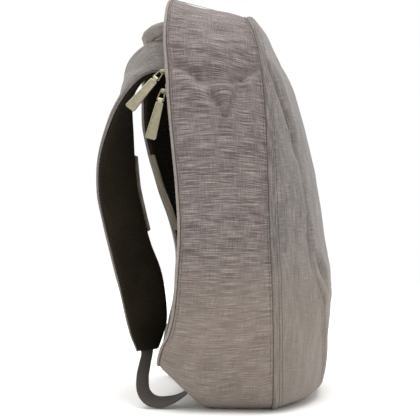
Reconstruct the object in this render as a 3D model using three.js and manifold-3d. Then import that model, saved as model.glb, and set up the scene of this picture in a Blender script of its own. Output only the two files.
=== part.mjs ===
// Anti-theft daypack with its zip hidden against the wearer's back.
// Millimetres, +Z up. X runs across the bag and -X is the wearer's left. The outer front faces -Y and
// the wearer's side faces +Y. The origin is on the floor, under the middle of the flat base.
import * as THREE from 'three';
import { mergeVertices } from 'three/addons/utils/BufferGeometryUtils.js';
import Module from 'manifold-3d';

const wasm = await Module();
wasm.setup();

// Driving dimensions
const HEIGHT = 450; // floor to the top of the back rim
const WIDTH = 292; // across the widest part of the side wall
const DEPTH = 150; // body depth, which the side profiles share out
const WALL = 3.5; // padded side and front cloth
const GAP = 0.3; // clearance between two pieces
const SEAM_GAP = 0.5; // clearance along the front seam, whose edges curve
const SLIDER_GAP = 0.7; // running clearance of the sliders on the curved zip

const WELT_WIDTH = 5; // topstitched strip between side wall and front
const WELT_RAISE = 1.2;
const PIPING_DIAMETER = 3.6;
const TAPE_WIDTH = 16;
const TAPE_THICKNESS = 1.6;
const COIL_WIDTH = 5;
const COIL_HEIGHT = 2.2;
const PANEL_THICKNESS = 3; // back panel behind the rim, before its padding
const PANEL_PADDING = 10; // how far the padding stands out at the middle of the back

const STRAP_HALF = 34; // half the width of a shoulder strap
const STRAP_THICKNESS = 14;
const STRIP_THICKNESS = 1.6; // light strip on each strap's inner edge
const STRIP_HEIGHT = 8;
const WEBBING_WIDTH = 25;
const WEBBING_THICKNESS = 2;
const HANDLE_WIDTH = 15;
const HANDLE_THICKNESS = 7;

const SLIDER_LENGTH = 13;
const SLIDER_WIDTH = 10;
const SLIDER_PLATE = 2;
const BAR_DIAMETER = 1.8; // the slider's bar, which carries the ring
const RING_WIRE = 1.6;
const RING_LENGTH = 10; // slider bar to the ring's lower bar
const RING_HALF = 4.4; // half the ring's width at its lower bar
const TAB_LENGTH = 42;
const TAB_TOP = 8.4; // tab width at the ring
const TAB_END = 12.4; // tab width at its free end
const TAB_THICKNESS = 2.5;
const PLAY = 0.4; // clearance of the moving metal parts
const CHEEK = 1.6; // thickness of each cheek that holds the slider's bar
const BARREL_WALL = 0.9; // metal round the bore of a tab's barrel
const TAB_CORNER = 2.2; // rounding of the tab's free corners

// Outline of the body seen from the front: a superellipse, arched above and boxier below.
const WIDEST = 0.38; // share of HEIGHT where the body is widest
const TOP_SQUARENESS = 3;
const BASE_SQUARENESS = 6;
const RING_STEPS = 64;

// Body sections from the back rim (depth 0) to the front seam (depth 1).
// top and bottom are shares of HEIGHT, half is a share of half the WIDTH.
const BODY_STATIONS = [
  { depth: 0.0, top: 1.0, bottom: 0.094, half: 0.98 },
  { depth: 0.1, top: 0.993, bottom: 0.068, half: 0.99 },
  { depth: 0.2, top: 0.986, bottom: 0.042, half: 0.997 },
  { depth: 0.3, top: 0.98, bottom: 0.016, half: 1.0 },
  { depth: 0.42, top: 0.975, bottom: -0.004, half: 1.0 },
  { depth: 0.6, top: 0.97, bottom: -0.007, half: 0.992 },
  { depth: 0.8, top: 0.963, bottom: -0.007, half: 0.975 },
  { depth: 1.0, top: 0.952, bottom: -0.007, half: 0.945 },
];

// Side profiles: up is a share of HEIGHT, back a share of DEPTH towards the wearer.
const RIM_PROFILE = [
  { up: 0.094, back: 0.592 },
  { up: 0.155, back: 0.532 },
  { up: 0.191, back: 0.479 },
  { up: 0.244, back: 0.442 },
  { up: 0.32, back: 0.42 },
  { up: 0.437, back: 0.4 },
  { up: 0.53, back: 0.415 },
  { up: 0.636, back: 0.447 },
  { up: 0.742, back: 0.482 },
  { up: 0.813, back: 0.5 },
  { up: 0.887, back: 0.53 },
  { up: 1.0, back: 0.547 },
];
const SEAM_PROFILE = [
  { up: 0.0, back: -0.22 },
  { up: 0.031, back: -0.245 },
  { up: 0.156, back: -0.253 },
  { up: 0.273, back: -0.247 },
  { up: 0.438, back: -0.225 },
  { up: 0.6, back: -0.207 },
  { up: 0.718, back: -0.187 },
  { up: 0.813, back: -0.151 },
  { up: 0.876, back: -0.113 },
  { up: 0.916, back: -0.067 },
  { up: 0.944, back: -0.015 },
  { up: 0.952, back: 0.0 },
];
// How far the middle of the front stands out beyond its seam, as a share of DEPTH.
const FRONT_PROFILE = [
  { up: 0, out: 0 },
  { up: 0.003, out: 0.07 },
  { up: 0.007, out: 0.162 },
  { up: 0.014, out: 0.222 },
  { up: 0.026, out: 0.257 },
  { up: 0.04, out: 0.287 },
  { up: 0.06, out: 0.29 },
  { up: 0.13, out: 0.305 },
  { up: 0.233, out: 0.338 },
  { up: 0.26, out: 0.35 },
  { up: 0.29, out: 0.346 },
  { up: 0.389, out: 0.313 },
  { up: 0.528, out: 0.271 },
  { up: 0.589, out: 0.24 },
  { up: 0.656, out: 0.2 },
  { up: 0.698, out: 0.172 },
  { up: 0.743, out: 0.143 },
  { up: 0.784, out: 0.114 },
  { up: 0.822, out: 0.078 },
  { up: 0.842, out: 0.056 },
  { up: 0.886, out: 0.02 },
  { up: 0.933, out: 0.01 },
  { up: 0.952, out: 0 },
];
const DOME_POWER = 2.6;
const FRONT_EDGE = SEAM_GAP + WELT_WIDTH + SEAM_GAP; // seam line to the edge of the front sheet

// Rows of the front sheet, each set in from its edge by a share of half the WIDTH. Its inner face
// starts some rows further in, where the wall has its full thickness.
const FRONT_ROWS = [0, 0.012, 0.03, 0.06, 0.105, 0.17, 0.265, 0.385, 0.53, 0.69, 0.85];
const FRONT_INNER_FROM = 3;
// Rows of the back padding: inset as a share of half the WIDTH, stand as a share of PANEL_PADDING.
// The rows marked flat are also the rows of its flat inner face.
const PANEL_ROWS = [
  { inset: 0, stand: 0.1, flat: true },
  { inset: 0.03, stand: 0.45, flat: false },
  { inset: 0.13, stand: 0.7, flat: false },
  { inset: 0.36, stand: 0.95, flat: true },
  { inset: 0.62, stand: 1.0, flat: true },
];

// Soft dents (negative) and swells (positive) of the near side wall.
// depth: share from rim to seam, up: share of HEIGHT, across and along: shares of DEPTH and HEIGHT,
// raise: millimetres.
const SIDE_DENTS = [
  { depth: 0.46, up: 0.765, across: 0.09, along: 0.03, raise: -3.5 },
  { depth: 0.4, up: 0.86, across: 0.16, along: 0.04, raise: 2.5 },
  { depth: 0.76, up: 0.75, across: 0.06, along: 0.07, raise: -2.5 },
  { depth: 0.6, up: 0.7, across: 0.08, along: 0.04, raise: 2.0 },
  { depth: 0.5, up: 0.4, across: 0.2, along: 0.12, raise: 2.0 },
  { depth: 0.75, up: 0.06, across: 0.1, along: 0.03, raise: -2.5 },
];
const FAR_DENT_SHARE = 0.6; // the hidden side is calmer
const BAND_STEPS = 18; // steps along a strap, a webbing or the handle

// Shoulder straps from the root to the padded tip. side: share of half the WIDTH, leftBack and
// rightBack: share of DEPTH, up: share of HEIGHT, left and right: roll in degrees, half: share of
// STRAP_HALF, thick: share of STRAP_THICKNESS. The right strap hangs closer to the bag.
const STRAP_ROWS = [
  { side: 0.41, leftBack: 0.49, rightBack: 0.49, up: 0.858, left: 34, right: 34, half: 1, thick: 0.7 },
  { side: 0.42, leftBack: 0.61, rightBack: 0.58, up: 0.853, left: 34, right: 34, half: 1, thick: 0.8 },
  { side: 0.43, leftBack: 0.72, rightBack: 0.67, up: 0.838, left: 32, right: 31, half: 1, thick: 0.9 },
  { side: 0.45, leftBack: 0.81, rightBack: 0.735, up: 0.8, left: 20, right: 26, half: 1, thick: 1 },
  { side: 0.48, leftBack: 0.875, rightBack: 0.76, up: 0.737, left: 2, right: 22, half: 1, thick: 1 },
  { side: 0.51, leftBack: 0.91, rightBack: 0.765, up: 0.671, left: -12, right: 20, half: 0.98, thick: 1 },
  { side: 0.535, leftBack: 0.933, rightBack: 0.72, up: 0.598, left: -25, right: 20, half: 0.95, thick: 1 },
  { side: 0.55, leftBack: 0.925, rightBack: 0.67, up: 0.525, left: -31, right: 17, half: 0.93, thick: 1 },
  { side: 0.55, leftBack: 0.882, rightBack: 0.61, up: 0.452, left: -33, right: 12, half: 0.92, thick: 1 },
  { side: 0.55, leftBack: 0.825, rightBack: 0.565, up: 0.378, left: -34, right: 6, half: 0.92, thick: 1 },
  { side: 0.55, leftBack: 0.755, rightBack: 0.56, up: 0.304, left: -37, right: 4, half: 0.96, thick: 0.95 },
  { side: 0.56, leftBack: 0.708, rightBack: 0.595, up: 0.218, left: -35, right: 3, half: 0.93, thick: 0.8 },
  { side: 0.567, leftBack: 0.703, rightBack: 0.635, up: 0.175, left: -30, right: 2, half: 0.84, thick: 0.7 },
  { side: 0.575, leftBack: 0.7, rightBack: 0.68, up: 0.133, left: -26, right: 0, half: 0.56, thick: 0.55 },
];

// Section of a strap, seen along it: across is a share of its half width, out of its thickness.
const COVER_SECTION = [
  { across: -1.0, out: -0.32 },
  { across: -0.97, out: 0.18 },
  { across: -0.72, out: 0.44 },
  { across: 0.0, out: 0.54 },
  { across: 0.72, out: 0.44 },
  { across: 0.97, out: 0.18 },
  { across: 1.0, out: -0.32 },
  { across: 0.94, out: -0.32 },
  { across: 0.91, out: 0.08 },
  { across: 0.69, out: 0.29 },
  { across: 0.0, out: 0.38 },
  { across: -0.69, out: 0.29 },
  { across: -0.91, out: 0.08 },
  { across: -0.94, out: -0.32 },
];
const PAD_SECTION = [
  { across: -0.89, out: -0.35 },
  { across: -0.85, out: -0.02 },
  { across: -0.66, out: 0.21 },
  { across: 0.0, out: 0.3 },
  { across: 0.66, out: 0.21 },
  { across: 0.85, out: -0.02 },
  { across: 0.89, out: -0.35 },
  { across: 0.6, out: -0.5 },
  { across: 0.0, out: -0.54 },
  { across: -0.6, out: -0.5 },
];
const STRIP_FROM = 0.44; // shares of the strap's rows between which the light strip runs
const STRIP_TO = 0.66;

// Webbing from the padded tip, over the floor and up into the sloped bottom of the bag. Its columns
// are those of the straps, with roll in degrees.
const WEBBING_ROWS = [
  { side: 0.578, back: 0.7, up: 0.125, roll: -20 },
  { side: 0.6, back: 0.712, up: 0.1, roll: -20 },
  { side: 0.64, back: 0.722, up: 0.072, roll: -20 },
  { side: 0.68, back: 0.712, up: 0.042, roll: -20 },
  { side: 0.7, back: 0.67, up: 0.022, roll: -20 },
  { side: 0.7, back: 0.61, up: 0.014, roll: -18 },
  { side: 0.7, back: 0.54, up: 0.016, roll: -15 },
  { side: 0.69, back: 0.46, up: 0.025, roll: -8 },
  { side: 0.68, back: 0.39, up: 0.04, roll: -3 },
  { side: 0.67, back: 0.34, up: 0.06, roll: 0 },
];

// Grab handle, from its left root to the middle: side is a share of half the WIDTH, back of DEPTH and
// up of HEIGHT.
const HANDLE_ROWS = [
  { side: -0.33, back: 0.49, up: 0.925 },
  { side: -0.32, back: 0.6, up: 0.922 },
  { side: -0.29, back: 0.67, up: 0.916 },
  { side: -0.19, back: 0.745, up: 0.902 },
  { side: -0.07, back: 0.77, up: 0.89 },
];
const HANDLE_TILT = 30; // degrees that the handle's loop droops

// Zip hardware on the near side: angle places it along the rim, hang is measured from the zip.
const HARDWARE = [
  { name: 'upper', up: 0.812, hang: 44 },
  { name: 'lower', up: 0.765, hang: 17 },
];
const COIL_END = 0.31; // share of HEIGHT where the zip ends on both sides

const PANEL_EDGE = PIPING_DIAMETER + GAP + TAPE_WIDTH + GAP; // rim to the edge of the back panel
const ZIP_INSET = PIPING_DIAMETER + GAP + TAPE_WIDTH / 2; // rim to the middle of the coil
const TAPE_TOP = 0.6; // how far the tape stands out beyond the rim
const COIL_BASE = TAPE_TOP + GAP;
const COIL_TOP = COIL_BASE + COIL_HEIGHT;

const FABRIC_GREY = 0x9b9491;
const FABRIC_LIGHT = 0xb9b3ae;
const MESH_BLACK = 0x1d1917;
const WEBBING_GREY = 0x4a4644;
const SATIN_METAL = 0xc9c2b0;

const materials = {
  cloth: new THREE.MeshStandardMaterial({ color: FABRIC_GREY, roughness: 0.85, metalness: 0 }),
  lightCloth: new THREE.MeshStandardMaterial({ color: FABRIC_LIGHT, roughness: 0.8, metalness: 0 }),
  mesh: new THREE.MeshStandardMaterial({ color: MESH_BLACK, roughness: 0.95, metalness: 0 }),
  webbing: new THREE.MeshStandardMaterial({ color: WEBBING_GREY, roughness: 0.8, metalness: 0 }),
  metal: new THREE.MeshStandardMaterial({ color: SATIN_METAL, roughness: 0.35, metalness: 1 }),
};

// Value of a column at a place in a table sorted by its key column, on straight lines between rows.
function readTable(table, key, column, at) {
  if (at <= table[0][key]) return table[0][column];
  for (let row = 1; row < table.length; row += 1) {
    const low = table[row - 1];
    const high = table[row];
    if (at <= high[key]) {
      const share = (at - low[key]) / (high[key] - low[key]);
      return low[column] + (high[column] - low[column]) * share;
    }
  }
  return table[table.length - 1][column];
}

// All columns of a table on a smooth curve through its rows, at a share of the row count.
function smoothRow(table, share) {
  const place = THREE.MathUtils.clamp(share, 0, 1) * (table.length - 1);
  const row = Math.min(Math.floor(place), table.length - 2);
  const part = place - row;
  const pick = (index) => table[THREE.MathUtils.clamp(index, 0, table.length - 1)];
  const result = {};
  for (const column of Object.keys(table[0])) {
    const [before, low, high, after] = [row - 1, row, row + 1, row + 2].map((i) => pick(i)[column]);
    const bend = 2 * before - 5 * low + 4 * high - after;
    const twist = -before + 3 * low - 3 * high + after;
    result[column] = low + 0.5 * part * (high - before + part * (bend + part * twist));
  }
  return result;
}

// Closed mesh through loops of equal length. An open row of loops gets flat ladder caps.
function loft(loops, closed = false) {
  const count = loops[0].length;
  const index = [];
  const strips = closed ? loops.length : loops.length - 1;
  for (let row = 0; row < strips; row += 1) {
    const next = (row + 1) % loops.length;
    for (let i = 0; i < count; i += 1) {
      const j = (i + 1) % count;
      const [a, b] = [row * count + i, row * count + j];
      const [c, d] = [next * count + j, next * count + i];
      index.push(a, b, c, a, c, d);
    }
  }
  const cap = (start, flip) => {
    for (let i = 0; i < count / 2 - 1; i += 1) {
      const [a, b] = [start + i, start + i + 1];
      const [c, d] = [start + count - 2 - i, start + count - 1 - i];
      const faces = b === c ? [[a, b, d]] : [[a, b, c], [a, c, d]];
      faces.forEach(([p, q, r]) => index.push(...(flip ? [p, r, q] : [p, q, r])));
    }
  };
  if (!closed) {
    cap(0, true);
    cap((loops.length - 1) * count, false);
  }
  const geometry = new THREE.BufferGeometry();
  const positions = loops.flat().flatMap((point) => point.toArray());
  geometry.setAttribute('position', new THREE.Float32BufferAttribute(positions, 3));
  geometry.setIndex(index);
  return facingOut(geometry);
}

// Turns a closed mesh the right way out by the sign of its volume.
function facingOut(geometry) {
  const position = geometry.getAttribute('position');
  const corner = (i) => new THREE.Vector3().fromBufferAttribute(position, i);
  const index = Array.from(geometry.getIndex().array);
  let volume = 0;
  for (let i = 0; i < index.length; i += 3) {
    const [a, b, c] = index.slice(i, i + 3).map(corner);
    volume += a.dot(b.cross(c));
  }
  if (volume < 0) index.reverse();
  geometry.setIndex(index);
  geometry.computeVertexNormals();
  return geometry;
}

function toSolid(geometry) {
  const bare = geometry.clone();
  bare.deleteAttribute('normal');
  if (bare.getAttribute('uv')) bare.deleteAttribute('uv');
  const merged = mergeVertices(bare, 1e-4);
  return new wasm.Manifold(new wasm.Mesh({
    numProp: 3,
    vertProperties: new Float32Array(merged.getAttribute('position').array),
    triVerts: new Uint32Array(merged.getIndex().array),
  }));
}

function toGeometry(solid) {
  const mesh = solid.getMesh();
  const geometry = new THREE.BufferGeometry();
  geometry.setAttribute('position', new THREE.Float32BufferAttribute(mesh.vertProperties, 3));
  geometry.setIndex(Array.from(mesh.triVerts));
  geometry.computeVertexNormals();
  return geometry;
}

function join(geometries) {
  return toGeometry(geometries.map(toSolid).reduce((sum, solid) => sum.add(solid)));
}

// What is left of a geometry outside another one: only its largest piece is kept.
function cutBy(geometry, tool) {
  const pieces = toSolid(geometry).subtract(toSolid(tool)).decompose();
  pieces.sort((a, b) => b.volume() - a.volume());
  return toGeometry(pieces[0]);
}

const middle = WIDEST * HEIGHT;

// Body section at a depth, set in from its outer face.
function stationAt(depth, inset) {
  const at = (column) => readTable(BODY_STATIONS, 'depth', column, depth);
  return {
    top: at('top') * HEIGHT - inset,
    bottom: at('bottom') * HEIGHT + inset,
    half: (at('half') * WIDTH) / 2 - inset,
    floor: Math.max(inset, 0),
  };
}

// Point of an outline in the direction of an angle, 0 at the top and a quarter turn at the +X side.
function outlinePoint(station, angle) {
  const [sine, cosine] = [Math.sin(angle), Math.cos(angle)];
  const square = cosine > 0 ? TOP_SQUARENESS : BASE_SQUARENESS;
  const reach = cosine > 0 ? station.top - middle : middle - station.bottom;
  const radius = (Math.abs(sine) ** square + Math.abs(cosine) ** square) ** (-1 / square);
  const z = middle + reach * radius * cosine;
  return { x: station.half * radius * sine, z: Math.max(z, station.floor) };
}

// Angles that space the rim's outline evenly.
function evenAngles(count) {
  const fine = 720;
  const rim = stationAt(0, 0);
  const lengths = [0];
  for (let i = 1; i <= fine; i += 1) {
    const from = outlinePoint(rim, ((i - 1) * 2 * Math.PI) / fine);
    const to = outlinePoint(rim, (i * 2 * Math.PI) / fine);
    lengths.push(lengths[i - 1] + Math.hypot(to.x - from.x, to.z - from.z));
  }
  const angles = [];
  let reached = 0;
  for (let step = 0; step < count; step += 1) {
    const wanted = (lengths[fine] * step) / count;
    while (lengths[reached + 1] < wanted) reached += 1;
    const share = (wanted - lengths[reached]) / (lengths[reached + 1] - lengths[reached]);
    angles.push(((reached + share) * 2 * Math.PI) / fine);
  }
  return angles;
}
const ANGLES = evenAngles(RING_STEPS);

const profileY = (profile, z) => DEPTH * readTable(profile, 'up', 'back', z / HEIGHT);

// Height of the soft dents and swells at a place on the side wall.
function sideRelief(depth, x, z) {
  const near = x < 0 ? 1 : FAR_DENT_SHARE;
  const onSide = THREE.MathUtils.smoothstep(Math.abs(x) / (WIDTH / 2), 0.4, 0.8);
  let relief = 0;
  for (const dent of SIDE_DENTS) {
    const across = (depth - dent.depth) / dent.across;
    const along = (z / HEIGHT - dent.up) / dent.along;
    relief += dent.raise * Math.exp(-0.5 * (across * across + along * along));
  }
  return near * onSide * relief * Math.sin(Math.PI * THREE.MathUtils.clamp(depth, 0, 1)) ** 0.5;
}

// Point on the side wall. inset is measured inwards from its outer face.
function sidePoint(angle, depth, inset) {
  const station = stationAt(depth, inset);
  const { x, z } = outlinePoint(station, angle);
  const y = THREE.MathUtils.lerp(profileY(RIM_PROFILE, z), profileY(SEAM_PROFILE, z), depth);
  const relief = sideRelief(depth, x, z);
  return new THREE.Vector3(x + Math.sign(x) * relief, y, z);
}

function gussetGeometry() {
  const depths = BODY_STATIONS.map((row) => row.depth);
  const loops = ANGLES.map((angle) => [
    ...depths.map((depth) => sidePoint(angle, depth, 0)),
    ...[...depths].reverse().map((depth) => sidePoint(angle, depth, WALL)),
  ]);
  return loft(loops, true);
}

// The side wall as one filled body, grown by a clearance, to cut what is seated on it.
function gussetFilled(grow) {
  const depths = BODY_STATIONS.map((row) => row.depth);
  return loft(depths.map((depth) => ANGLES.map((angle) => sidePoint(angle, depth, -grow))));
}

// Point near the front seam: inset inwards, forward towards the front.
function seamPoint(angle, inset, forward) {
  const { x, z } = outlinePoint(stationAt(1, inset), angle);
  return new THREE.Vector3(x, profileY(SEAM_PROFILE, z) - forward, z);
}

function weltGeometry() {
  const front = SEAM_GAP + WELT_WIDTH;
  const section = [
    [WALL, SEAM_GAP],
    [0, SEAM_GAP],
    [-WELT_RAISE, SEAM_GAP + WELT_WIDTH * 0.3],
    [-WELT_RAISE, SEAM_GAP + WELT_WIDTH * 0.7],
    [0, front],
    [WALL, front],
  ];
  return loft(
    ANGLES.map((angle) => section.map(([inset, forward]) => seamPoint(angle, inset, forward))),
    true,
  );
}

// Half width of the front's outline at a height.
function frontHalf(z) {
  const station = stationAt(1, 0);
  const up = z > middle;
  const reach = up ? station.top - middle : middle - station.bottom;
  const square = up ? TOP_SQUARENESS : BASE_SQUARENESS;
  const share = Math.min(Math.abs(z - middle) / reach, 1);
  return station.half * Math.max(1 - share ** square, 0) ** (1 / square);
}

// Point on the domed front, set in from its edge.
function frontPoint(angle, inset) {
  const station = { ...stationAt(1, inset), floor: Math.min(inset, WALL) * 0.2 };
  const { x, z } = outlinePoint(station, angle);
  const across = Math.min(Math.abs(x) / Math.max(frontHalf(z), 1), 1);
  const out = DEPTH * readTable(FRONT_PROFILE, 'up', 'out', z / HEIGHT) * (1 - across ** DOME_POWER);
  return new THREE.Vector3(x, profileY(SEAM_PROFILE, z) - FRONT_EDGE - out, z);
}

// The sheet's inner face: the outer one moved in by the wall, square to the surface.
function frontInner(angle, inset) {
  const here = frontPoint(angle, inset);
  const step = 1;
  const along = frontPoint(angle + 0.02, inset).sub(frontPoint(angle - 0.02, inset));
  const inwards = frontPoint(angle, inset + step).sub(frontPoint(angle, Math.max(inset - step, 0)));
  const normal = along.cross(inwards).normalize();
  if (normal.y < 0) normal.negate();
  const inner = here.clone().addScaledVector(normal, WALL);
  inner.y = Math.min(inner.y, profileY(SEAM_PROFILE, inner.z) - FRONT_EDGE);
  return inner;
}

function frontGeometry() {
  const insets = FRONT_ROWS.map((share) => (share * WIDTH) / 2);
  const outer = insets.map((inset) => ANGLES.map((angle) => frontPoint(angle, inset)));
  const rim = ANGLES.map((angle) => seamPoint(angle, WALL, FRONT_EDGE));
  const inner = insets
    .slice(FRONT_INNER_FROM)
    .map((inset) => ANGLES.map((angle) => frontInner(angle, inset)));
  return loft([...inner.reverse(), rim, ...outer]);
}

// Point by the back rim: inset inwards, back towards the wearer.
function rimPoint(angle, inset, back) {
  const { x, z } = outlinePoint(stationAt(0, inset), angle);
  return new THREE.Vector3(x, profileY(RIM_PROFILE, z) + back, z);
}

function rimBand(section, angles, closed) {
  return loft(angles.map((angle) => section.map(([inset, back]) => rimPoint(angle, inset, back))), closed);
}

function pipingGeometry() {
  const radius = PIPING_DIAMETER / 2;
  const section = [0, 1, 2, 3, 4, 5].map((side) => {
    const turn = (side * Math.PI) / 3;
    return [radius - radius * Math.cos(turn), GAP + radius + radius * Math.sin(turn)];
  });
  return rimBand(section, ANGLES, true);
}

function tapeGeometry() {
  const inner = PIPING_DIAMETER + GAP;
  const low = TAPE_TOP - TAPE_THICKNESS;
  const section = [
    [inner, low],
    [inner, TAPE_TOP],
    [inner + TAPE_WIDTH, TAPE_TOP],
    [inner + TAPE_WIDTH, low],
  ];
  return rimBand(section, ANGLES, true);
}

function coilGeometry() {
  const half = COIL_WIDTH / 2;
  const section = [
    [ZIP_INSET - half, COIL_BASE],
    [ZIP_INSET - half * 0.7, COIL_BASE + COIL_HEIGHT * 0.8],
    [ZIP_INSET, COIL_TOP],
    [ZIP_INSET + half * 0.7, COIL_BASE + COIL_HEIGHT * 0.8],
    [ZIP_INSET + half, COIL_BASE],
    [ZIP_INSET, COIL_BASE],
  ];
  const above = ANGLES.filter((angle) => rimPoint(angle, ZIP_INSET, 0).z > COIL_END * HEIGHT);
  const left = above.filter((angle) => angle > Math.PI);
  const right = above.filter((angle) => angle <= Math.PI);
  return rimBand(section, [...left, ...right], false);
}

function backPanelGeometry(grow) {
  const flat = PANEL_ROWS.filter((row) => row.flat).reverse();
  const inner = flat.map(({ inset }) => ({ inset, back: -PANEL_THICKNESS - grow }));
  const outer = PANEL_ROWS.map(({ inset, stand }) => ({ inset, back: stand * PANEL_PADDING + grow }));
  return loft([...inner, ...outer].map(({ inset, back }) => {
    const distance = PANEL_EDGE - grow + (inset * WIDTH) / 2;
    return ANGLES.map((angle) => rimPoint(angle, distance, back));
  }));
}

// Frame of a hanging band: tangent, the across direction with its roll, and the outward direction.
function bandFrame(before, after, side, roll) {
  const tangent = after.clone().sub(before).normalize();
  const outward = new THREE.Vector3(0, -tangent.z, tangent.y).normalize();
  const across = new THREE.Vector3(-side * Math.cos(roll), 0, 0).addScaledVector(outward, Math.sin(roll));
  across.addScaledVector(tangent, -across.dot(tangent)).normalize();
  const face = across.clone().cross(tangent).normalize();
  if (face.dot(outward) < 0) face.negate();
  return { across, face };
}

// Place of a strap or webbing row in space. side is -1 for the wearer's left and 1 for the right.
function hangingPoint(row, side) {
  const back = row.back ?? (side < 0 ? row.leftBack : row.rightBack);
  return new THREE.Vector3((side * row.side * WIDTH) / 2, back * DEPTH, row.up * HEIGHT);
}

function bandLoops(table, side, shares, sectionAt) {
  return shares.map((share) => {
    const row = smoothRow(table, share);
    const before = hangingPoint(smoothRow(table, share - 0.02), side);
    const after = hangingPoint(smoothRow(table, share + 0.02), side);
    const degrees = row.roll ?? (side < 0 ? row.left : row.right);
    const frame = bandFrame(before, after, side, THREE.MathUtils.degToRad(degrees));
    const centre = hangingPoint(row, side);
    return sectionAt(row).map(([across, out]) => centre.clone()
      .addScaledVector(frame.across, across)
      .addScaledVector(frame.face, out));
  });
}

function sharesBetween(from, to, steps) {
  return Array.from({ length: steps + 1 }, (_, i) => from + ((to - from) * i) / steps);
}

function strapSection(section) {
  return (row) => section.map(({ across, out }) => [
    across * row.half * STRAP_HALF,
    out * row.thick * STRAP_THICKNESS,
  ]);
}

const panelTool = backPanelGeometry(GAP);
const sideTool = gussetFilled(GAP);

function strapGeometry(side, section) {
  const loops = bandLoops(STRAP_ROWS, side, sharesBetween(0, 1, BAND_STEPS), strapSection(section));
  return cutBy(loft(loops), panelTool);
}

function stripGeometry(side) {
  const section = (row) => {
    const near = row.half * STRAP_HALF + GAP;
    const half = STRIP_HEIGHT / 2;
    return [[near, -half], [near, half], [near + STRIP_THICKNESS, half], [near + STRIP_THICKNESS, -half]];
  };
  return loft(bandLoops(STRAP_ROWS, side, sharesBetween(STRIP_FROM, STRIP_TO, 5), section));
}

function webbingGeometry(side) {
  const [half, thin] = [WEBBING_WIDTH / 2, WEBBING_THICKNESS / 2];
  const section = () => [[-half, -thin], [-half, thin], [half, thin], [half, -thin]];
  const loops = bandLoops(WEBBING_ROWS, side, sharesBetween(0, 1, BAND_STEPS), section);
  return cutBy(loft(loops), sideTool);
}

function handleGeometry() {
  const left = HANDLE_ROWS.map(({ side, back, up }) => new THREE.Vector3(
    (side * WIDTH) / 2,
    back * DEPTH,
    up * HEIGHT,
  ));
  const right = [...left].reverse().map((point) => new THREE.Vector3(-point.x, point.y, point.z));
  const curve = new THREE.CatmullRomCurve3([...left, ...right]);
  const tilt = THREE.MathUtils.degToRad(HANDLE_TILT);
  const upright = new THREE.Vector3(0, Math.sin(tilt), Math.cos(tilt));
  const loops = sharesBetween(0, 1, BAND_STEPS).map((share) => {
    const centre = curve.getPoint(share);
    const tangent = curve.getTangent(share);
    const tall = upright.clone().addScaledVector(tangent, -upright.dot(tangent)).normalize();
    const thick = tangent.clone().cross(tall);
    return [0, 1, 2, 3, 4, 5, 6, 7].map((corner) => {
      const turn = (corner * Math.PI) / 4;
      return centre.clone()
        .addScaledVector(tall, (Math.cos(turn) * HANDLE_WIDTH) / 2)
        .addScaledVector(thick, (Math.sin(turn) * HANDLE_THICKNESS) / 2);
    });
  });
  return cutBy(loft(loops), panelTool);
}

// Frame on the zip at a height on the wearer's left: along the zip, inwards and out of the back.
function zipFrame(up) {
  let [low, high] = [Math.PI, 2 * Math.PI];
  for (let i = 0; i < 40; i += 1) {
    const half = (low + high) / 2;
    if (rimPoint(half, ZIP_INSET, 0).z < up * HEIGHT) low = half;
    else high = half;
  }
  const place = rimPoint(low, ZIP_INSET, 0);
  const along = rimPoint(low + 0.02, ZIP_INSET, 0).sub(rimPoint(low - 0.02, ZIP_INSET, 0)).normalize();
  const out = new THREE.Vector3(0, 1, 0).addScaledVector(along, -along.y).normalize();
  const inwards = out.clone().cross(along).normalize();
  return { place, along, inwards, out };
}

// Box from low to high corners.
function block(low, high) {
  const size = high.map((value, axis) => value - low[axis]);
  const box = new THREE.BoxGeometry(...size);
  box.translate(...low.map((value, axis) => value + size[axis] / 2));
  return box;
}

const EYE_RADIUS = BAR_DIAMETER / 2 + PLAY; // the ring's hole round the slider's bar
const PLATE_TOP = COIL_TOP + SLIDER_GAP + SLIDER_PLATE;
const BAR_HEIGHT = PLATE_TOP + PLAY + EYE_RADIUS + RING_WIRE; // zip surface to the slider's bar

// Slider: plate over the coil, two flanges beside it, and two cheeks that hold the ring's bar.
// Its own frame runs along the zip (X), inwards (Y) and out of the back (Z).
function sliderGeometry() {
  const [length, half] = [SLIDER_LENGTH / 2, SLIDER_WIDTH / 2];
  const channel = COIL_WIDTH / 2 + SLIDER_GAP;
  const plateLow = COIL_TOP + SLIDER_GAP;
  const flangeLow = TAPE_TOP + SLIDER_GAP;
  const cheekLow = RING_WIRE / 2 + PLAY;
  const cheekHigh = cheekLow + CHEEK;
  const cheekHalf = BAR_DIAMETER;
  const cheekTop = BAR_HEIGHT + BAR_DIAMETER;
  const barLength = cheekLow + cheekHigh;
  const sink = SLIDER_PLATE / 4; // how deep the cheeks and flanges run into the plate
  const bar = new THREE.CylinderGeometry(BAR_DIAMETER / 2, BAR_DIAMETER / 2, barLength, 10);
  bar.rotateY(Math.PI / 10);
  bar.translate(0, 0, BAR_HEIGHT);
  return join([
    block([-length, -half, plateLow], [length, half, PLATE_TOP]),
    block([-length, channel, flangeLow], [length, half, PLATE_TOP - sink]),
    block([-length, -half, flangeLow], [length, -channel, PLATE_TOP - sink]),
    block([-cheekHalf, cheekLow, PLATE_TOP - sink], [cheekHalf, cheekHigh, cheekTop]),
    block([-cheekHalf, -cheekHigh, PLATE_TOP - sink], [cheekHalf, -cheekLow, cheekTop]),
    bar,
  ]);
}

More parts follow.
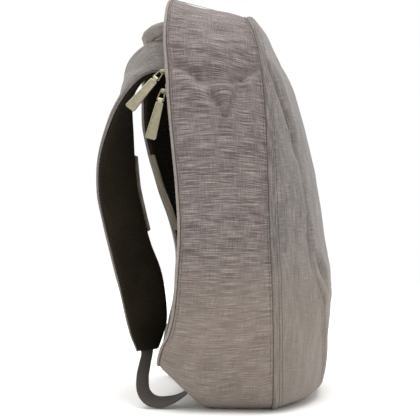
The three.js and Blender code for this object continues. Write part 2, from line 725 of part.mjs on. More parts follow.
// Ring: a flat tapered link from the slider's bar (origin) down to its lower bar.
function ringGeometry() {
  const top = EYE_RADIUS + RING_WIRE;
  const low = RING_LENGTH + RING_WIRE / 2;
  const outline = new THREE.Shape();
  outline.absarc(0, 0, top, Math.PI, 2 * Math.PI, false);
  outline.lineTo(RING_HALF, low - RING_WIRE);
  outline.lineTo(RING_HALF, low);
  outline.lineTo(-RING_HALF, low);
  outline.lineTo(-RING_HALF, low - RING_WIRE);
  const hole = new THREE.Path();
  hole.absarc(0, 0, EYE_RADIUS, Math.PI, 2 * Math.PI, false);
  hole.lineTo(RING_HALF - RING_WIRE * 0.9, RING_LENGTH - RING_WIRE / 2);
  hole.lineTo(-RING_HALF + RING_WIRE * 0.9, RING_LENGTH - RING_WIRE / 2);
  outline.holes.push(hole);
  const link = new THREE.ExtrudeGeometry(outline, {
    depth: RING_WIRE,
    bevelEnabled: false,
    curveSegments: 8,
  });
  link.translate(0, 0, -RING_WIRE / 2);
  return toGeometry(toSolid(link));
}

// Pull tab: a barrel round the ring's lower bar (origin) and a tapered plate with a framed face.
function tabGeometry() {
  const bore = (RING_WIRE * Math.SQRT2) / 2 + PLAY;
  const barrelRadius = bore + BARREL_WALL;
  const barrelHalf = RING_HALF - RING_WIRE * 0.9 - PLAY;
  const start = bore + BARREL_WALL / 4;
  const end = start + TAB_LENGTH;
  const cylinder = (radius, length) => {
    const shape = new THREE.CylinderGeometry(radius, radius, length, 16);
    shape.rotateZ(Math.PI / 2);
    return shape;
  };
  const shoulder = barrelRadius + PLAY;
  const plate = new THREE.Shape();
  plate.moveTo(-TAB_TOP / 2, shoulder);
  plate.lineTo(-barrelHalf, shoulder);
  plate.lineTo(-barrelHalf, start);
  plate.lineTo(barrelHalf, start);
  plate.lineTo(barrelHalf, shoulder);
  plate.lineTo(TAB_TOP / 2, shoulder);
  plate.lineTo(TAB_END / 2, end - TAB_CORNER);
  plate.quadraticCurveTo(TAB_END / 2, end, TAB_END / 2 - TAB_CORNER, end);
  plate.lineTo(-TAB_END / 2 + TAB_CORNER, end);
  plate.quadraticCurveTo(-TAB_END / 2, end, -TAB_END / 2, end - TAB_CORNER);
  const flat = new THREE.ExtrudeGeometry(plate, {
    depth: TAB_THICKNESS,
    bevelEnabled: false,
    curveSegments: 4,
  });
  flat.translate(0, 0, -TAB_THICKNESS / 2);
  const solid = toSolid(cylinder(barrelRadius, 2 * barrelHalf)).add(toSolid(flat));
  return toGeometry(solid.subtract(toSolid(cylinder(bore, 3 * RING_HALF))));
}

function named(name, geometry, material) {
  const mesh = new THREE.Mesh(geometry, material);
  mesh.name = name;
  return mesh;
}

// Slider, ring and pull at one height of the zip.
function hardware({ name, up, hang }) {
  const { place, along, inwards, out } = zipFrame(up);
  const group = new THREE.Group();
  group.position.copy(place);
  group.quaternion.setFromRotationMatrix(new THREE.Matrix4().makeBasis(along, inwards, out));
  group.add(named(`slider_${name}`, sliderGeometry(), materials.metal));
  const hanging = new THREE.Group();
  const tilt = THREE.MathUtils.degToRad(hang);
  const down = new THREE.Vector3(-Math.cos(tilt), 0, Math.sin(tilt));
  const away = new THREE.Vector3(0, -1, 0);
  const across = down.clone().cross(away);
  hanging.position.set(0, 0, BAR_HEIGHT);
  hanging.quaternion.setFromRotationMatrix(new THREE.Matrix4().makeBasis(across, down, away));
  hanging.add(named(`ring_${name}`, ringGeometry(), materials.metal));
  const pull = named(`pull_${name}`, tabGeometry(), materials.metal);
  pull.position.set(0, RING_LENGTH, 0);
  hanging.add(pull);
  group.add(hanging);
  return group;
}

const body = new THREE.Group();
body.add(
  named('gusset', gussetGeometry(), materials.cloth),
  named('front_panel', frontGeometry(), materials.cloth),
  named('seam_welt', weltGeometry(), materials.lightCloth),
  named('back_piping', pipingGeometry(), materials.lightCloth),
  named('zip_tape', tapeGeometry(), materials.mesh),
  named('zip_coil', coilGeometry(), materials.mesh),
  named('back_panel', backPanelGeometry(0), materials.mesh),
  named('carry_handle', handleGeometry(), materials.lightCloth),
);

const straps = new THREE.Group();
for (const [name, side] of [['left', -1], ['right', 1]]) {
  straps.add(
    named(`strap_cover_${name}`, strapGeometry(side, COVER_SECTION), materials.cloth),
    named(`strap_pad_${name}`, strapGeometry(side, PAD_SECTION), materials.mesh),
    named(`strap_strip_${name}`, stripGeometry(side), materials.lightCloth),
    named(`webbing_${name}`, webbingGeometry(side), materials.webbing),
  );
}

const backpack = new THREE.Group();
backpack.add(body, straps, ...HARDWARE.map(hardware));

export default backpack;
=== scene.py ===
"""Slim daypack with a hidden zip: fine cloth, stitching, padding and metal around its solid frame."""

import math

import bmesh
import bpy
import numpy as np
from bpy.props import FloatProperty, FloatVectorProperty, PointerProperty
from mathutils import Matrix, Vector, noise


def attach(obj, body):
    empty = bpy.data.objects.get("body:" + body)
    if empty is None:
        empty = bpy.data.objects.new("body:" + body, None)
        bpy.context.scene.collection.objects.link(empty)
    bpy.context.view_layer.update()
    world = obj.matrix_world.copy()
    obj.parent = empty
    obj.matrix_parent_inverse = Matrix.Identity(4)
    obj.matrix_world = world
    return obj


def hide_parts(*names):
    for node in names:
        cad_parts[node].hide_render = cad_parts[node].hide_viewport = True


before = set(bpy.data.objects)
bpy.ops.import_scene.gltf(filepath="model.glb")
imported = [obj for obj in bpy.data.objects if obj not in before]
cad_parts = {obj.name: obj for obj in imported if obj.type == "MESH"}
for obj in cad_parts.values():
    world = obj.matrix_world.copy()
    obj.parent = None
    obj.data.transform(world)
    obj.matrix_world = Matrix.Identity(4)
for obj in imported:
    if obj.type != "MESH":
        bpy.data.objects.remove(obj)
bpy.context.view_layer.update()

bl_info = {
    "name": "Daypack",
    "version": (1, 0, 0),
    "blender": (4, 5, 0),
    "location": "View3D > Sidebar > Daypack",
    "description": "Cloth, padding, webbing, zip and metal of a slim daypack",
    "category": "Object",
}


def linear(hex_colour):
    """An sRGB hex colour as linear RGB."""
    parts = [int(hex_colour[i : i + 2], 16) / 255 for i in (0, 2, 4)]
    return tuple(c / 12.92 if c <= 0.04045 else ((c + 0.055) / 1.055) ** 2.4 for c in parts)


def length_property(name, description, default):
    return FloatProperty(
        name=name, description=description, default=default, min=0, unit="LENGTH", precision=4
    )


def angle_property(name, description, degrees):
    return FloatProperty(
        name=name, description=description, default=math.radians(degrees), subtype="ANGLE"
    )


def power_property(name, description, watts):
    return FloatProperty(name=name, description=description, default=watts, unit="POWER")


def colour_property(name, description, hex_colour):
    return FloatVectorProperty(
        name=name, description=description, default=linear(hex_colour), size=3, min=0, max=1, subtype="COLOR"
    )


# ---- Sizes and colours that a user would change


class DaypackBody(bpy.types.PropertyGroup):
    height: length_property("Height", "Floor to the top of the back rim", 0.45)
    width: length_property("Width", "Across the widest part of the side wall", 0.292)
    depth: length_property("Depth", "Body depth that the side profiles share out", 0.15)
    wall: length_property("Wall", "Padded side and front cloth", 0.0035)
    seam_gap: length_property("Seam gap", "From a cloth edge to the welt", 0.0005)
    welt_width: length_property("Welt width", "Topstitched strip between side and front", 0.005)
    welt_raise: length_property("Welt rise", "How far the welt stands out", 0.0012)
    piping: length_property("Piping", "Thickness of the piping on the back rim", 0.0036)
    tape_width: length_property("Tape width", "Zip tape just inside the piping", 0.016)
    tape_thickness: length_property("Tape thickness", "Woven zip tape", 0.0016)
    coil_width: length_property("Coil width", "Across the closed zip's teeth", 0.005)
    coil_height: length_property("Coil height", "How far the teeth stand out of the tape", 0.0022)
    tooth_pitch: length_property("Tooth pitch", "Distance between two teeth of one row", 0.003)
    padding: length_property("Back padding", "How far the back padding stands out", 0.010)


class DaypackStraps(bpy.types.PropertyGroup):
    half: length_property("Strap half width", "Half the width of a shoulder strap", 0.034)
    thickness: length_property("Strap thickness", "Cover and padding together", 0.014)
    cover: length_property("Strap cover", "Thickness of the outer cloth", 0.0018)
    strip: length_property("Light strip", "Thickness of the strip on the inner edge", 0.0016)
    strip_height: length_property("Strip height", "Height of the light strip", 0.008)
    webbing: length_property("Webbing width", "Width of the woven webbing", 0.025)
    webbing_thickness: length_property("Webbing thickness", "Thickness of the webbing", 0.002)
    handle_width: length_property("Handle width", "Height of the grab handle's section", 0.015)
    handle_thickness: length_property("Handle thickness", "Thickness of the grab handle", 0.007)
    handle_tilt: angle_property("Handle droop", "Droop of the handle's loop", 30)


class DaypackMetal(bpy.types.PropertyGroup):
    slider_length: length_property("Slider length", "Along the zip", 0.013)
    slider_width: length_property("Slider width", "Across the zip", 0.010)
    plate: length_property("Slider plate", "Thickness of the slider's plate", 0.002)
    bar: length_property("Slider bar", "Bar that carries the ring", 0.0018)
    wire: length_property("Ring wire", "Thickness of the ring's wire", 0.0016)
    ring_length: length_property("Ring length", "Slider bar to the ring's lower bar", 0.010)
    ring_half: length_property("Ring half width", "Half the ring's width at its lower bar", 0.0044)
    tab_length: length_property("Tab length", "Length of the pull's flat tab", 0.042)
    tab_top: length_property("Tab top", "Width of the tab at the ring", 0.0084)
    tab_end: length_property("Tab end", "Width of the tab at its free end", 0.0124)
    tab_thickness: length_property("Tab thickness", "Thickness of the flat tab", 0.0025)
    slider_gap: length_property("Slider gap", "Clearance of the sliders over the zip", 0.0007)
    play: length_property("Play", "Clearance of the moving parts", 0.0004)


class DaypackColours(bpy.types.PropertyGroup):
    heather_light: colour_property("Heather light", "Light slubs of the melange cloth", "A89E99")
    heather_mid: colour_property("Heather middle", "Ground of the melange cloth", "5F5553")
    # Also used for the painted shade along the sewn lines.
    heather_dark: colour_property("Heather dark", "Dark yarn of the melange cloth", "3F3938")
    # Painted warm light: a warm cast low on the bag, put into the cloth's colour.
    painted_warm_light: colour_property("Heather warm", "Warmer tone low on the bag", "85796B")
    heather_front: colour_property("Front ground", "Ground of the front's melange cloth", "5E5956")
    strip: colour_property("Strip", "Short strips on the straps' inner edges", "6A6254")
    # Also the handle's colour, where its lighter tone is painted highlight.
    trim: colour_property("Trim", "Piping, strips and stitched tabs", "857D77")
    # Lighter and darker copies of this colour paint sheen on the mesh's fluff and shade in its holes.
    mesh: colour_property("Mesh", "Black padding mesh", "231D13")
    # Lighter and darker copies of this colour paint highlights on the picks and shade between the ribs.
    webbing: colour_property("Webbing", "Woven webbing", "453E38")
    metal: colour_property("Metal", "Satin plated zinc", "9C957F")
    coil: colour_property("Zip teeth", "Nylon zip teeth", "161514")
    thread: colour_property("Thread", "Sewing thread", "857C79")
    floor: colour_property("Floor", "Plain pale floor", "FBFAF8")


class DaypackStudio(bpy.types.PropertyGroup):
    azimuth: angle_property("Azimuth", "Camera direction round the bag", -84)
    elevation: angle_property("Elevation", "Camera height angle", 3)
    distance: length_property("Distance", "Camera to its aim", 1.7)
    aim_back: length_property("Aim back", "Aim's place towards the wearer", 0.0441)
    aim_up: length_property("Aim height", "Aim's height over the floor", 0.2106)
    lens: FloatProperty(
        name="Lens", description="Focal length in millimetres", default=126.9, min=10, max=400
    )
    top_power: power_property("Top light", "Power of the overhead softbox", 65)
    side_power: power_property("Side light", "Power of the camera side softbox", 0.5)
    front_power: power_property("Front light", "Power of the softbox before the bag", 1.5)


# ---- Shape tables: shares of the body's height, width and depth


def table(columns, *rows):
    """A table's rows, each with its named columns."""
    return [dict(zip(columns.split(), row)) for row in rows]


WIDEST = 0.38
TOP_SQUARENESS = 3
BASE_SQUARENESS = 6
DOME_POWER = 2.6
FAR_DENT_SHARE = 0.6

BODY_STATIONS = table(
    "depth top bottom half",
    (0.0, 1.0, 0.094, 0.98),
    (0.1, 0.993, 0.068, 0.99),
    (0.2, 0.986, 0.042, 0.997),
    (0.3, 0.98, 0.016, 1.0),
    (0.42, 0.975, -0.004, 1.0),
    (0.6, 0.97, -0.007, 0.992),
    (0.8, 0.963, -0.007, 0.975),
    (1.0, 0.952, -0.007, 0.945),
)
RIM_PROFILE = table(
    "up back",
    (0.094, 0.592),
    (0.155, 0.532),
    (0.191, 0.479),
    (0.244, 0.442),
    (0.32, 0.42),
    (0.437, 0.4),
    (0.53, 0.415),
    (0.636, 0.447),
    (0.742, 0.482),
    (0.813, 0.5),
    (0.887, 0.53),
    (1.0, 0.547),
)
SEAM_PROFILE = table(
    "up back",
    (0.0, -0.22),
    (0.031, -0.245),
    (0.156, -0.253),
    (0.273, -0.247),
    (0.438, -0.225),
    (0.6, -0.207),
    (0.718, -0.187),
    (0.813, -0.151),
    (0.876, -0.113),
    (0.916, -0.067),
    (0.944, -0.015),
    (0.952, 0.0),
)
FRONT_PROFILE = table(
    "up out",
    (0, 0),
    (0.003, 0.07),
    (0.007, 0.162),
    (0.014, 0.222),
    (0.026, 0.257),
    (0.04, 0.287),
    (0.06, 0.29),
    (0.13, 0.305),
    (0.233, 0.338),
    (0.26, 0.35),
    (0.29, 0.346),
    (0.389, 0.313),
    (0.528, 0.271),
    (0.589, 0.24),
    (0.656, 0.2),
    (0.698, 0.172),
    (0.743, 0.143),
    (0.784, 0.114),
    (0.822, 0.078),
    (0.842, 0.056),
    (0.886, 0.02),
    (0.933, 0.01),
    (0.952, 0),
)
PANEL_ROWS = table("inset stand", (0, 0.1), (0.03, 0.45), (0.13, 0.7), (0.36, 0.95), (0.62, 1.0), (1.0, 1.0))

# Soft dents and swells of the near side wall. across and along are shares, rise is in metres.
SIDE_DENTS = table(
    "depth up across along rise",
    (0.46, 0.765, 0.09, 0.03, -0.0035),
    (0.4, 0.86, 0.16, 0.04, 0.0025),
    (0.76, 0.75, 0.06, 0.07, -0.0025),
    (0.6, 0.7, 0.08, 0.04, 0.002),
    (0.5, 0.4, 0.2, 0.12, 0.002),
    (0.75, 0.06, 0.1, 0.03, -0.0025),
)
# Sharp wrinkles of the near side wall, each a line between two places. depth and up are shares, wide
# and rise are metres.
SIDE_WRINKLES = table(
    "depth up to_depth to_up wide rise",
    (0.2, 0.897, 0.85, 0.908, 0.008, 0.0026),
    (0.2, 0.875, 0.8, 0.882, 0.008, -0.0022),
    (0.3, 0.795, 0.41, 0.765, 0.0045, 0.0034),
    (0.41, 0.765, 0.505, 0.732, 0.004, 0.0052),
    (0.505, 0.732, 0.565, 0.7, 0.0034, 0.0040),
    (0.82, 0.8, 0.753, 0.77, 0.0045, 0.0030),
    (0.753, 0.77, 0.656, 0.732, 0.004, 0.0046),
    (0.656, 0.732, 0.585, 0.704, 0.0036, 0.0052),
    (0.585, 0.704, 0.5, 0.674, 0.0034, 0.0046),
    (0.46, 0.772, 0.68, 0.775, 0.008, -0.0044),
    (0.56, 0.752, 0.57, 0.728, 0.006, -0.0020),
    (0.2, 0.775, 0.33, 0.735, 0.009, -0.0040),
    (0.87, 0.795, 0.86, 0.71, 0.004, -0.0048),
    (0.43, 0.722, 0.48, 0.68, 0.005, -0.0028),
    (0.93, 0.805, 0.92, 0.74, 0.005, 0.0018),
    (0.1, 0.84, 0.3, 0.83, 0.007, -0.0018),
    (0.45, 0.84, 0.62, 0.83, 0.006, -0.0016),
    (0.66, 0.045, 0.82, 0.075, 0.006, -0.0036),
    (0.84, 0.1, 0.93, 0.035, 0.005, -0.0030),
    (0.6, 0.02, 0.7, 0.1, 0.007, 0.0026),
    (0.62, 0.1, 0.8, 0.095, 0.006, -0.0018),
)
# Lower edge of the shoulder's roll of cloth over the near side wall, from the rim to the seam.
SHOULDER_EDGE = table(
    "depth up",
    (0.0, 0.824),
    (0.084, 0.822),
    (0.167, 0.815),
    (0.25, 0.803),
    (0.314, 0.793),
    (0.405, 0.786),
    (0.61, 0.784),
    (0.716, 0.787),
    (0.843, 0.803),
    (0.93, 0.81),
    (1.0, 0.812),
)
SHOULDER_RISE = 0.0105
SHOULDER_FADE = 0.022
SHOULDER_START = 0.006
# Creases of the front, near side and mirrored: across from the middle in shares of half the width.
FRONT_CREASES = table(
    "side up to_side to_up wide rise",
    (0.7, 0.825, 0.68, 0.766, 0.005, -0.0085),
    (0.68, 0.766, 0.645, 0.695, 0.004, -0.0075),
    (0.645, 0.695, 0.62, 0.611, 0.0032, -0.0050),
    (0.56, 0.82, 0.55, 0.66, 0.009, 0.0028),
    (0.79, 0.8, 0.76, 0.69, 0.007, 0.0016),
    (0.61, 0.6, 0.57, 0.46, 0.004, -0.0014),
    (0.57, 0.46, 0.6, 0.338, 0.0034, -0.0045),
    (0.5, 0.45, 0.52, 0.36, 0.008, 0.0018),
    (0.52, 0.37, 0.3, 0.27, 0.005, -0.0045),
    (0.4, 0.37, 0.22, 0.3, 0.008, 0.0020),
    (0.7, 0.2, 0.72, 0.06, 0.006, -0.0012),
)
# Hem of the front's lower pleat: where it lies and how deep it is, over the height.
PLEAT = table(
    "up side deep",
    (0.0, 0.25, 0.0),
    (0.035, 0.25, 0.4),
    (0.073, 0.24, 0.9),
    (0.127, 0.3, 1.0),
    (0.206, 0.4, 1.0),
    (0.26, 0.49, 0.9),
    (0.295, 0.55, 0.6),
    (0.33, 0.61, 0.0),
)
PLEAT_DEPTH = 0.0055

STRAP_ROWS = table(
    "side left_back right_back up left right half thick",
    (0.41, 0.49, 0.49, 0.858, 34, 34, 1, 0.7),
    (0.42, 0.61, 0.58, 0.853, 34, 34, 1, 0.8),
    (0.43, 0.72, 0.67, 0.838, 32, 31, 1, 0.9),
    (0.45, 0.81, 0.735, 0.8, 20, 26, 1, 1),
    (0.48, 0.875, 0.76, 0.737, 2, 22, 1, 1),
    (0.51, 0.91, 0.765, 0.671, -12, 20, 0.98, 1),
    (0.535, 0.933, 0.72, 0.598, -25, 20, 0.95, 1),
    (0.55, 0.925, 0.67, 0.525, -31, 17, 0.93, 1),
    (0.55, 0.882, 0.61, 0.452, -33, 12, 0.92, 1),
    (0.55, 0.825, 0.565, 0.378, -34, 6, 0.92, 1),
    (0.55, 0.755, 0.56, 0.304, -37, 4, 0.96, 0.95),
    (0.56, 0.708, 0.595, 0.218, -35, 3, 0.93, 0.8),
    (0.567, 0.703, 0.635, 0.175, -30, 2, 0.84, 0.7),
    (0.575, 0.7, 0.68, 0.133, -26, 0, 0.56, 0.55),
)
COVER_SECTION = table(
    "across out",
    (-0.985, -0.04),
    (-0.985, 0.1),
    (-0.91, 0.29),
    (-0.7, 0.45),
    (0.0, 0.54),
    (0.7, 0.45),
    (0.91, 0.29),
    (0.985, 0.1),
    (0.985, -0.04),
)
PAD_SECTION = table(
    "across out",
    (-0.97, -0.27),
    (-0.955, -0.1),
    (-0.86, 0.08),
    (-0.6, 0.26),
    (0.0, 0.34),
    (0.6, 0.26),
    (0.86, 0.08),
    (0.955, -0.1),
    (0.97, -0.27),
    (0.88, -0.43),
    (0.6, -0.52),
    (0.0, -0.55),
    (-0.6, -0.52),
    (-0.88, -0.43),
)
STRIP_FROM, STRIP_TO = 0.44, 0.66
WEBBING_ROWS = table(
    "side back up roll",
    (0.572, 0.7, 0.15, -26),
    (0.578, 0.7, 0.125, -20),
    (0.6, 0.712, 0.1, -20),
    (0.64, 0.722, 0.072, -20),
    (0.68, 0.712, 0.042, -20),
    (0.7, 0.67, 0.022, -20),
    (0.7, 0.61, 0.014, -18),
    (0.7, 0.54, 0.016, -15),
    (0.69, 0.46, 0.025, -8),
    (0.68, 0.39, 0.04, -3),
    (0.67, 0.34, 0.06, 0),
)
HANDLE_ROWS = table(
    "side back up",
    (-0.33, 0.49, 0.925),
    (-0.32, 0.6, 0.922),
    (-0.29, 0.67, 0.916),
    (-0.19, 0.745, 0.902),
    (-0.07, 0.77, 0.89),
    (0.07, 0.77, 0.89),
    (0.19, 0.745, 0.902),
    (0.29, 0.67, 0.916),
    (0.32, 0.6, 0.922),
    (0.33, 0.49, 0.925),
)
HARDWARE = table("name up hang", ("upper", 0.812, 44), ("lower", 0.765, 17))
COIL_END = 0.31
TAPE_TOP = 0.0006
COIL_LIFT = 0.0003


# Length, gap and thread radius of one stitch.
BODY_STITCH = (0.0030, 0.0011, 0.00032)
BACK_STITCH = (0.0032, 0.0012, 0.00035)
STRAP_STITCH = (0.0030, 0.0012, 0.00032)


# ---- Curves and surfaces


def column(rows, name):
    return np.array([row[name] for row in rows], float)


def smooth_curve(rows, key, name):
    """The table's column over its key, on a smooth curve that rises only where the rows rise."""
    x, y = column(rows, key), column(rows, name)
    step = np.diff(x)
    slope = np.diff(y) / step
    tangent = np.concatenate([slope[:1], np.zeros(len(x) - 2), slope[-1:]])
    low, high = slope[:-1], slope[1:]
    same = low * high > 0
    near, far = 2 * step[1:] + step[:-1], step[1:] + 2 * step[:-1]
    safe_low, safe_high = np.where(same, low, 1), np.where(same, high, 1)
    tangent[1:-1] = np.where(same, (near + far) / (near / safe_low + far / safe_high), 0)

    def at(value):
        value = np.clip(value, x[0], x[-1])
        i = np.clip(np.searchsorted(x, value) - 1, 0, len(x) - 2)
        t = (value - x[i]) / step[i]
        rise = y[i + 1] - y[i]
        ease = t * t * (3 - 2 * t)
        return (
            y[i]
            + rise * ease
            + step[i] * (tangent[i] * t * (1 - t) ** 2 - tangent[i + 1] * t * t * (1 - t))
        )

    return at


def along_rows(rows, share, closed=False):
    """All columns on a smooth curve through the rows, at shares of the row count."""
    count = len(rows)
    share = np.asarray(share, float)
    place = share * count if closed else np.clip(share, 0, 1) * (count - 1)
    low = np.floor(place).astype(int)
    if not closed:
        low = np.minimum(low, count - 2)
    part = place - low
    result = {}
    for name in rows[0]:
        values = column(rows, name)

        def pick(i):
            return values[i % count] if closed else values[np.clip(i, 0, count - 1)]

        a, b, c, d = (pick(low + k) for k in (-1, 0, 1, 2))
        bend, twist = 2 * a - 5 * b + 4 * c - d, 3 * b - a - 3 * c + d
        result[name] = b + 0.5 * part * (c - a + part * (bend + part * twist))
    return result


def from_start(steps):
    """Distance from the start after each of a row of steps."""
    return np.concatenate([[0], np.cumsum(steps)])


def unit(vectors):
    return vectors / np.maximum(np.linalg.norm(vectors, axis=-1, keepdims=True), 1e-12)


def stack(x, y, z):
    return np.stack(np.broadcast_arrays(x, y, z), axis=-1).astype(float)


class Body:
    """The bag's main surfaces, worked out from its sizes."""

    def __init__(self, sizes):
        self.sizes = sizes
        self.middle = WIDEST * sizes.height
        self.curves = {name: smooth_curve(BODY_STATIONS, "depth", name) for name in ("top", "bottom", "half")}
        self.rim = smooth_curve(RIM_PROFILE, "up", "back")
        self.seam = smooth_curve(SEAM_PROFILE, "up", "back")
        self.front = smooth_curve(FRONT_PROFILE, "up", "out")
        self.stand = smooth_curve(PANEL_ROWS, "inset", "stand")
        self.pleat_side = smooth_curve(PLEAT, "up", "side")
        self.pleat_deep = smooth_curve(PLEAT, "up", "deep")
        self.shoulder = smooth_curve(SHOULDER_EDGE, "depth", "up")
        self.front_edge = sizes.welt_width + 2 * sizes.seam_gap
        self.zip_inset = sizes.piping + COIL_LIFT + sizes.tape_width / 2
        self.panel_edge = sizes.piping + sizes.tape_width + 2 * COIL_LIFT
        self.turns = np.linspace(0, 2 * math.pi, 2881)
        x, z = self.outline(self.station(0.0, 0.0), self.turns)
        length = from_start(np.hypot(np.diff(x), np.diff(z)))
        self.perimeter = length[-1]
        self.shares = length / length[-1]

    def angle(self, share):
        """Angle round the rim at a share of its length, 0 at the top and rising towards +X."""
        return np.interp(share, self.shares, self.turns)

    def station(self, depth, inset):
        sizes = self.sizes
        depth = np.asarray(depth, float)
        return {
            "top": self.curves["top"](depth) * sizes.height - inset,
            "bottom": self.curves["bottom"](depth) * sizes.height + inset,
            "half": self.curves["half"](depth) * sizes.width / 2 - inset,
            "floor": np.maximum(inset, 0.0),
        }

    def outline(self, station, angle):
        sine, cosine = np.sin(angle), np.cos(angle)
        upper = cosine > 0
        square = np.where(upper, TOP_SQUARENESS, BASE_SQUARENESS)
        reach = np.where(upper, station["top"] - self.middle, self.middle - station["bottom"])
        radius = (np.abs(sine) ** square + np.abs(cosine) ** square) ** (-1 / square)
        x = station["half"] * radius * sine
        z = np.maximum(self.middle + reach * radius * cosine, station["floor"])
        return x, z

    def round_way(self, share, points):
        """Length round the side wall, the same at the same height, so that the weft lies level."""
        middle = self.station(0.5, 0.0)
        upper = points[:, 2] > self.middle
        reach = np.where(upper, middle["top"] - self.middle, self.middle - middle["bottom"])
        turn = np.arctan2(points[:, 0] / middle["half"], (points[:, 2] - self.middle) / reach) % (2 * math.pi)
        turn = np.where((share > 0.75) & (turn < 1), turn + 2 * math.pi, turn)
        turn = np.where((share < 0.25) & (turn > 5), turn - 2 * math.pi, turn)
        x, z = self.outline(middle, self.turns)
        length = from_start(np.hypot(np.diff(x), np.diff(z)))
        return np.interp(turn, self.turns, length)

    def rim_y(self, z):
        return self.sizes.depth * self.rim(z / self.sizes.height)

    def seam_y(self, z):
        return self.sizes.depth * self.seam(z / self.sizes.height)

    def side(self, angle, depth, inset=0.0):
        """Point on the side wall, from the rim (depth 0) to the front seam (depth 1)."""
        x, z = self.outline(self.station(depth, inset), angle)
        y = self.rim_y(z) * (1 - depth) + self.seam_y(z) * depth
        x = x + np.sign(x) * self.side_relief(depth, x, z)
        return stack(x, y, z)

    def on_side(self, x):
        """1 on the near and far side walls, 0 over the top and under the bottom."""
        place = np.clip((np.abs(x) / (self.sizes.width / 2) - 0.4) / 0.4, 0, 1)
        return place * place * (3 - 2 * place)

    def side_relief(self, depth, x, z):
        up = z / self.sizes.height
        relief = 0
        for dent in SIDE_DENTS:
            across = (depth - dent["depth"]) / dent["across"]
            along = (up - dent["up"]) / dent["along"]
            relief = relief + dent["rise"] * np.exp(-0.5 * (across**2 + along**2))
        share = np.where(x < 0, 1, FAR_DENT_SHARE)
        return share * self.on_side(x) * relief * np.sqrt(np.sin(math.pi * np.clip(depth, 0, 1)))

    def rim_point(self, angle, inset, back):
        """Point by the back rim, set in from its edge and out towards the wearer."""
        x, z = self.outline(self.station(0.0, inset), angle)
        return stack(x, self.rim_y(z) + back, z)

    def seam_point(self, angle, inset, forward):
        x, z = self.outline(self.station(1.0, inset), angle)
        return stack(x, self.seam_y(z) - forward, z)

    def front_half(self, z):
        """Half width of the front at a height."""
        station = self.station(1.0, 0.0)
        upper = z > self.middle
        reach = np.where(upper, station["top"] - self.middle, self.middle - station["bottom"])
        square = np.where(upper, TOP_SQUARENESS, BASE_SQUARENESS)
        share = np.clip(np.abs(z - self.middle) / reach, 0, 1)
        return station["half"] * np.maximum(1 - share**square, 0) ** (1 / square)

    def front_y(self, x, z):
        across = np.clip(np.abs(x) / np.maximum(self.front_half(z), 1e-4), 0, 1)
        out = self.sizes.depth * self.front(z / self.sizes.height) * (1 - across**DOME_POWER)
        return self.seam_y(z) - self.front_edge - out


def creases(rows, a, b, names):
    """Height of a set of soft ridges and valleys at places (a, b), which are in metres."""
    total = np.zeros_like(a)
    for row in rows:
        a0, b0, a1, b1 = (row[name] for name in names)
        run = np.array([a1 - a0, b1 - b0])
        share = np.clip(((a - a0) * run[0] + (b - b0) * run[1]) / (run @ run), 0, 1)
        away = np.hypot(a - a0 - share * run[0], b - b0 - share * run[1])
        total = total + row["rise"] * np.exp(-((away / row["wide"]) ** 2)) * (1 - 0.5 * (2 * share - 1) ** 2)
    return total


def ripples(points, size, rise, seed=0.0):
    """Soft uneven swells of cloth: size is the swell's length and rise its height, in metres."""
    shift = Vector((seed, seed * 1.7, seed * 0.6))
    return np.array([rise * noise.noise(Vector(p) / size + shift) for p in points])


# ---- Meshes


def finish(bm, name, material, body="bag", replaces=(), smooth=True):
    """Turns a bmesh into a piece that rides on a CAD body and stands for CAD nodes."""
    mesh = bpy.data.meshes.new(name)
    bm.to_mesh(mesh)
    bm.free()
    for polygon in mesh.polygons:
        polygon.use_smooth = smooth
    piece = bpy.data.objects.new(name, mesh)
    bpy.context.scene.collection.objects.link(piece)
    mesh.materials.append(material)
    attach(piece, body)
    if replaces:
        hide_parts(*replaces)
    return piece


def bent_grid(columns, rows, place, measure, relief=None, merge=0.0, seam=None):
    """A grid of quads bent to place(s, t), with a UV map in metres and a height along its normals.

    s and t run from 0 to 1. measure(s, t, points) gives the UV, relief(s, t, points) the height and
    seam(s, t, points) the distance from the nearest sewn edge, kept as an attribute.
    """
    bm = bmesh.new()
    uv_layer = bm.loops.layers.uv.new("Cloth")
    bmesh.ops.create_grid(bm, x_segments=columns, y_segments=rows, size=0.5)
    layers = [bm.verts.layers.float.new(name) for name in ("Rise", "Seam")]
    flat = np.array([v.co[:2] for v in bm.verts]) + 0.5
    s, t = np.round(flat[:, 0], 6), np.round(flat[:, 1], 6)
    points = place(s, t)
    uvs = measure(s, t, points)
    rises = relief(s, t, points) if relief else np.zeros(len(s))
    seams = seam(s, t, points) if seam else np.full(len(s), 1.0)
    bm.verts.index_update()
    for face in bm.faces:
        for loop in face.loops:
            loop[uv_layer].uv = uvs[loop.vert.index]
    for v, point, rise, edge in zip(bm.verts, points, rises, seams):
        v.co = point
        v[layers[0]] = rise
        v[layers[1]] = edge
    if merge:
        bmesh.ops.remove_doubles(bm, verts=bm.verts, dist=merge)
        bmesh.ops.dissolve_degenerate(bm, dist=merge / 10, edges=bm.edges)
    bm.normal_update()
    if relief:
        moves = [(v, v.normal * v[layers[0]]) for v in bm.verts]
        for v, move in moves:
            v.co += move
        bm.normal_update()
    return bm


def face_out(bm, centre):
    """Turns an open sheet so that its faces look away from a point."""
    centre = Vector(centre)
    total = sum(f.normal.dot(f.calc_center_median() - centre) * f.calc_area() for f in bm.faces)
    if total < 0:
        bmesh.ops.reverse_faces(bm, faces=bm.faces)
        bm.normal_update()


def face_out_closed(bm):
    """Turns a closed mesh the right way out by the sign of its volume."""
    bmesh.ops.recalc_face_normals(bm, faces=bm.faces)
    if bm.calc_volume(signed=True) < 0:
        bmesh.ops.reverse_faces(bm, faces=bm.faces)
    bm.normal_update()


def thicken(piece, thickness, inward=True):
    solid = piece.modifiers.new("Wall", "SOLIDIFY")
    solid.thickness = thickness
    solid.offset = -1 if inward else 1
    solid.use_even_offset = False
    return solid


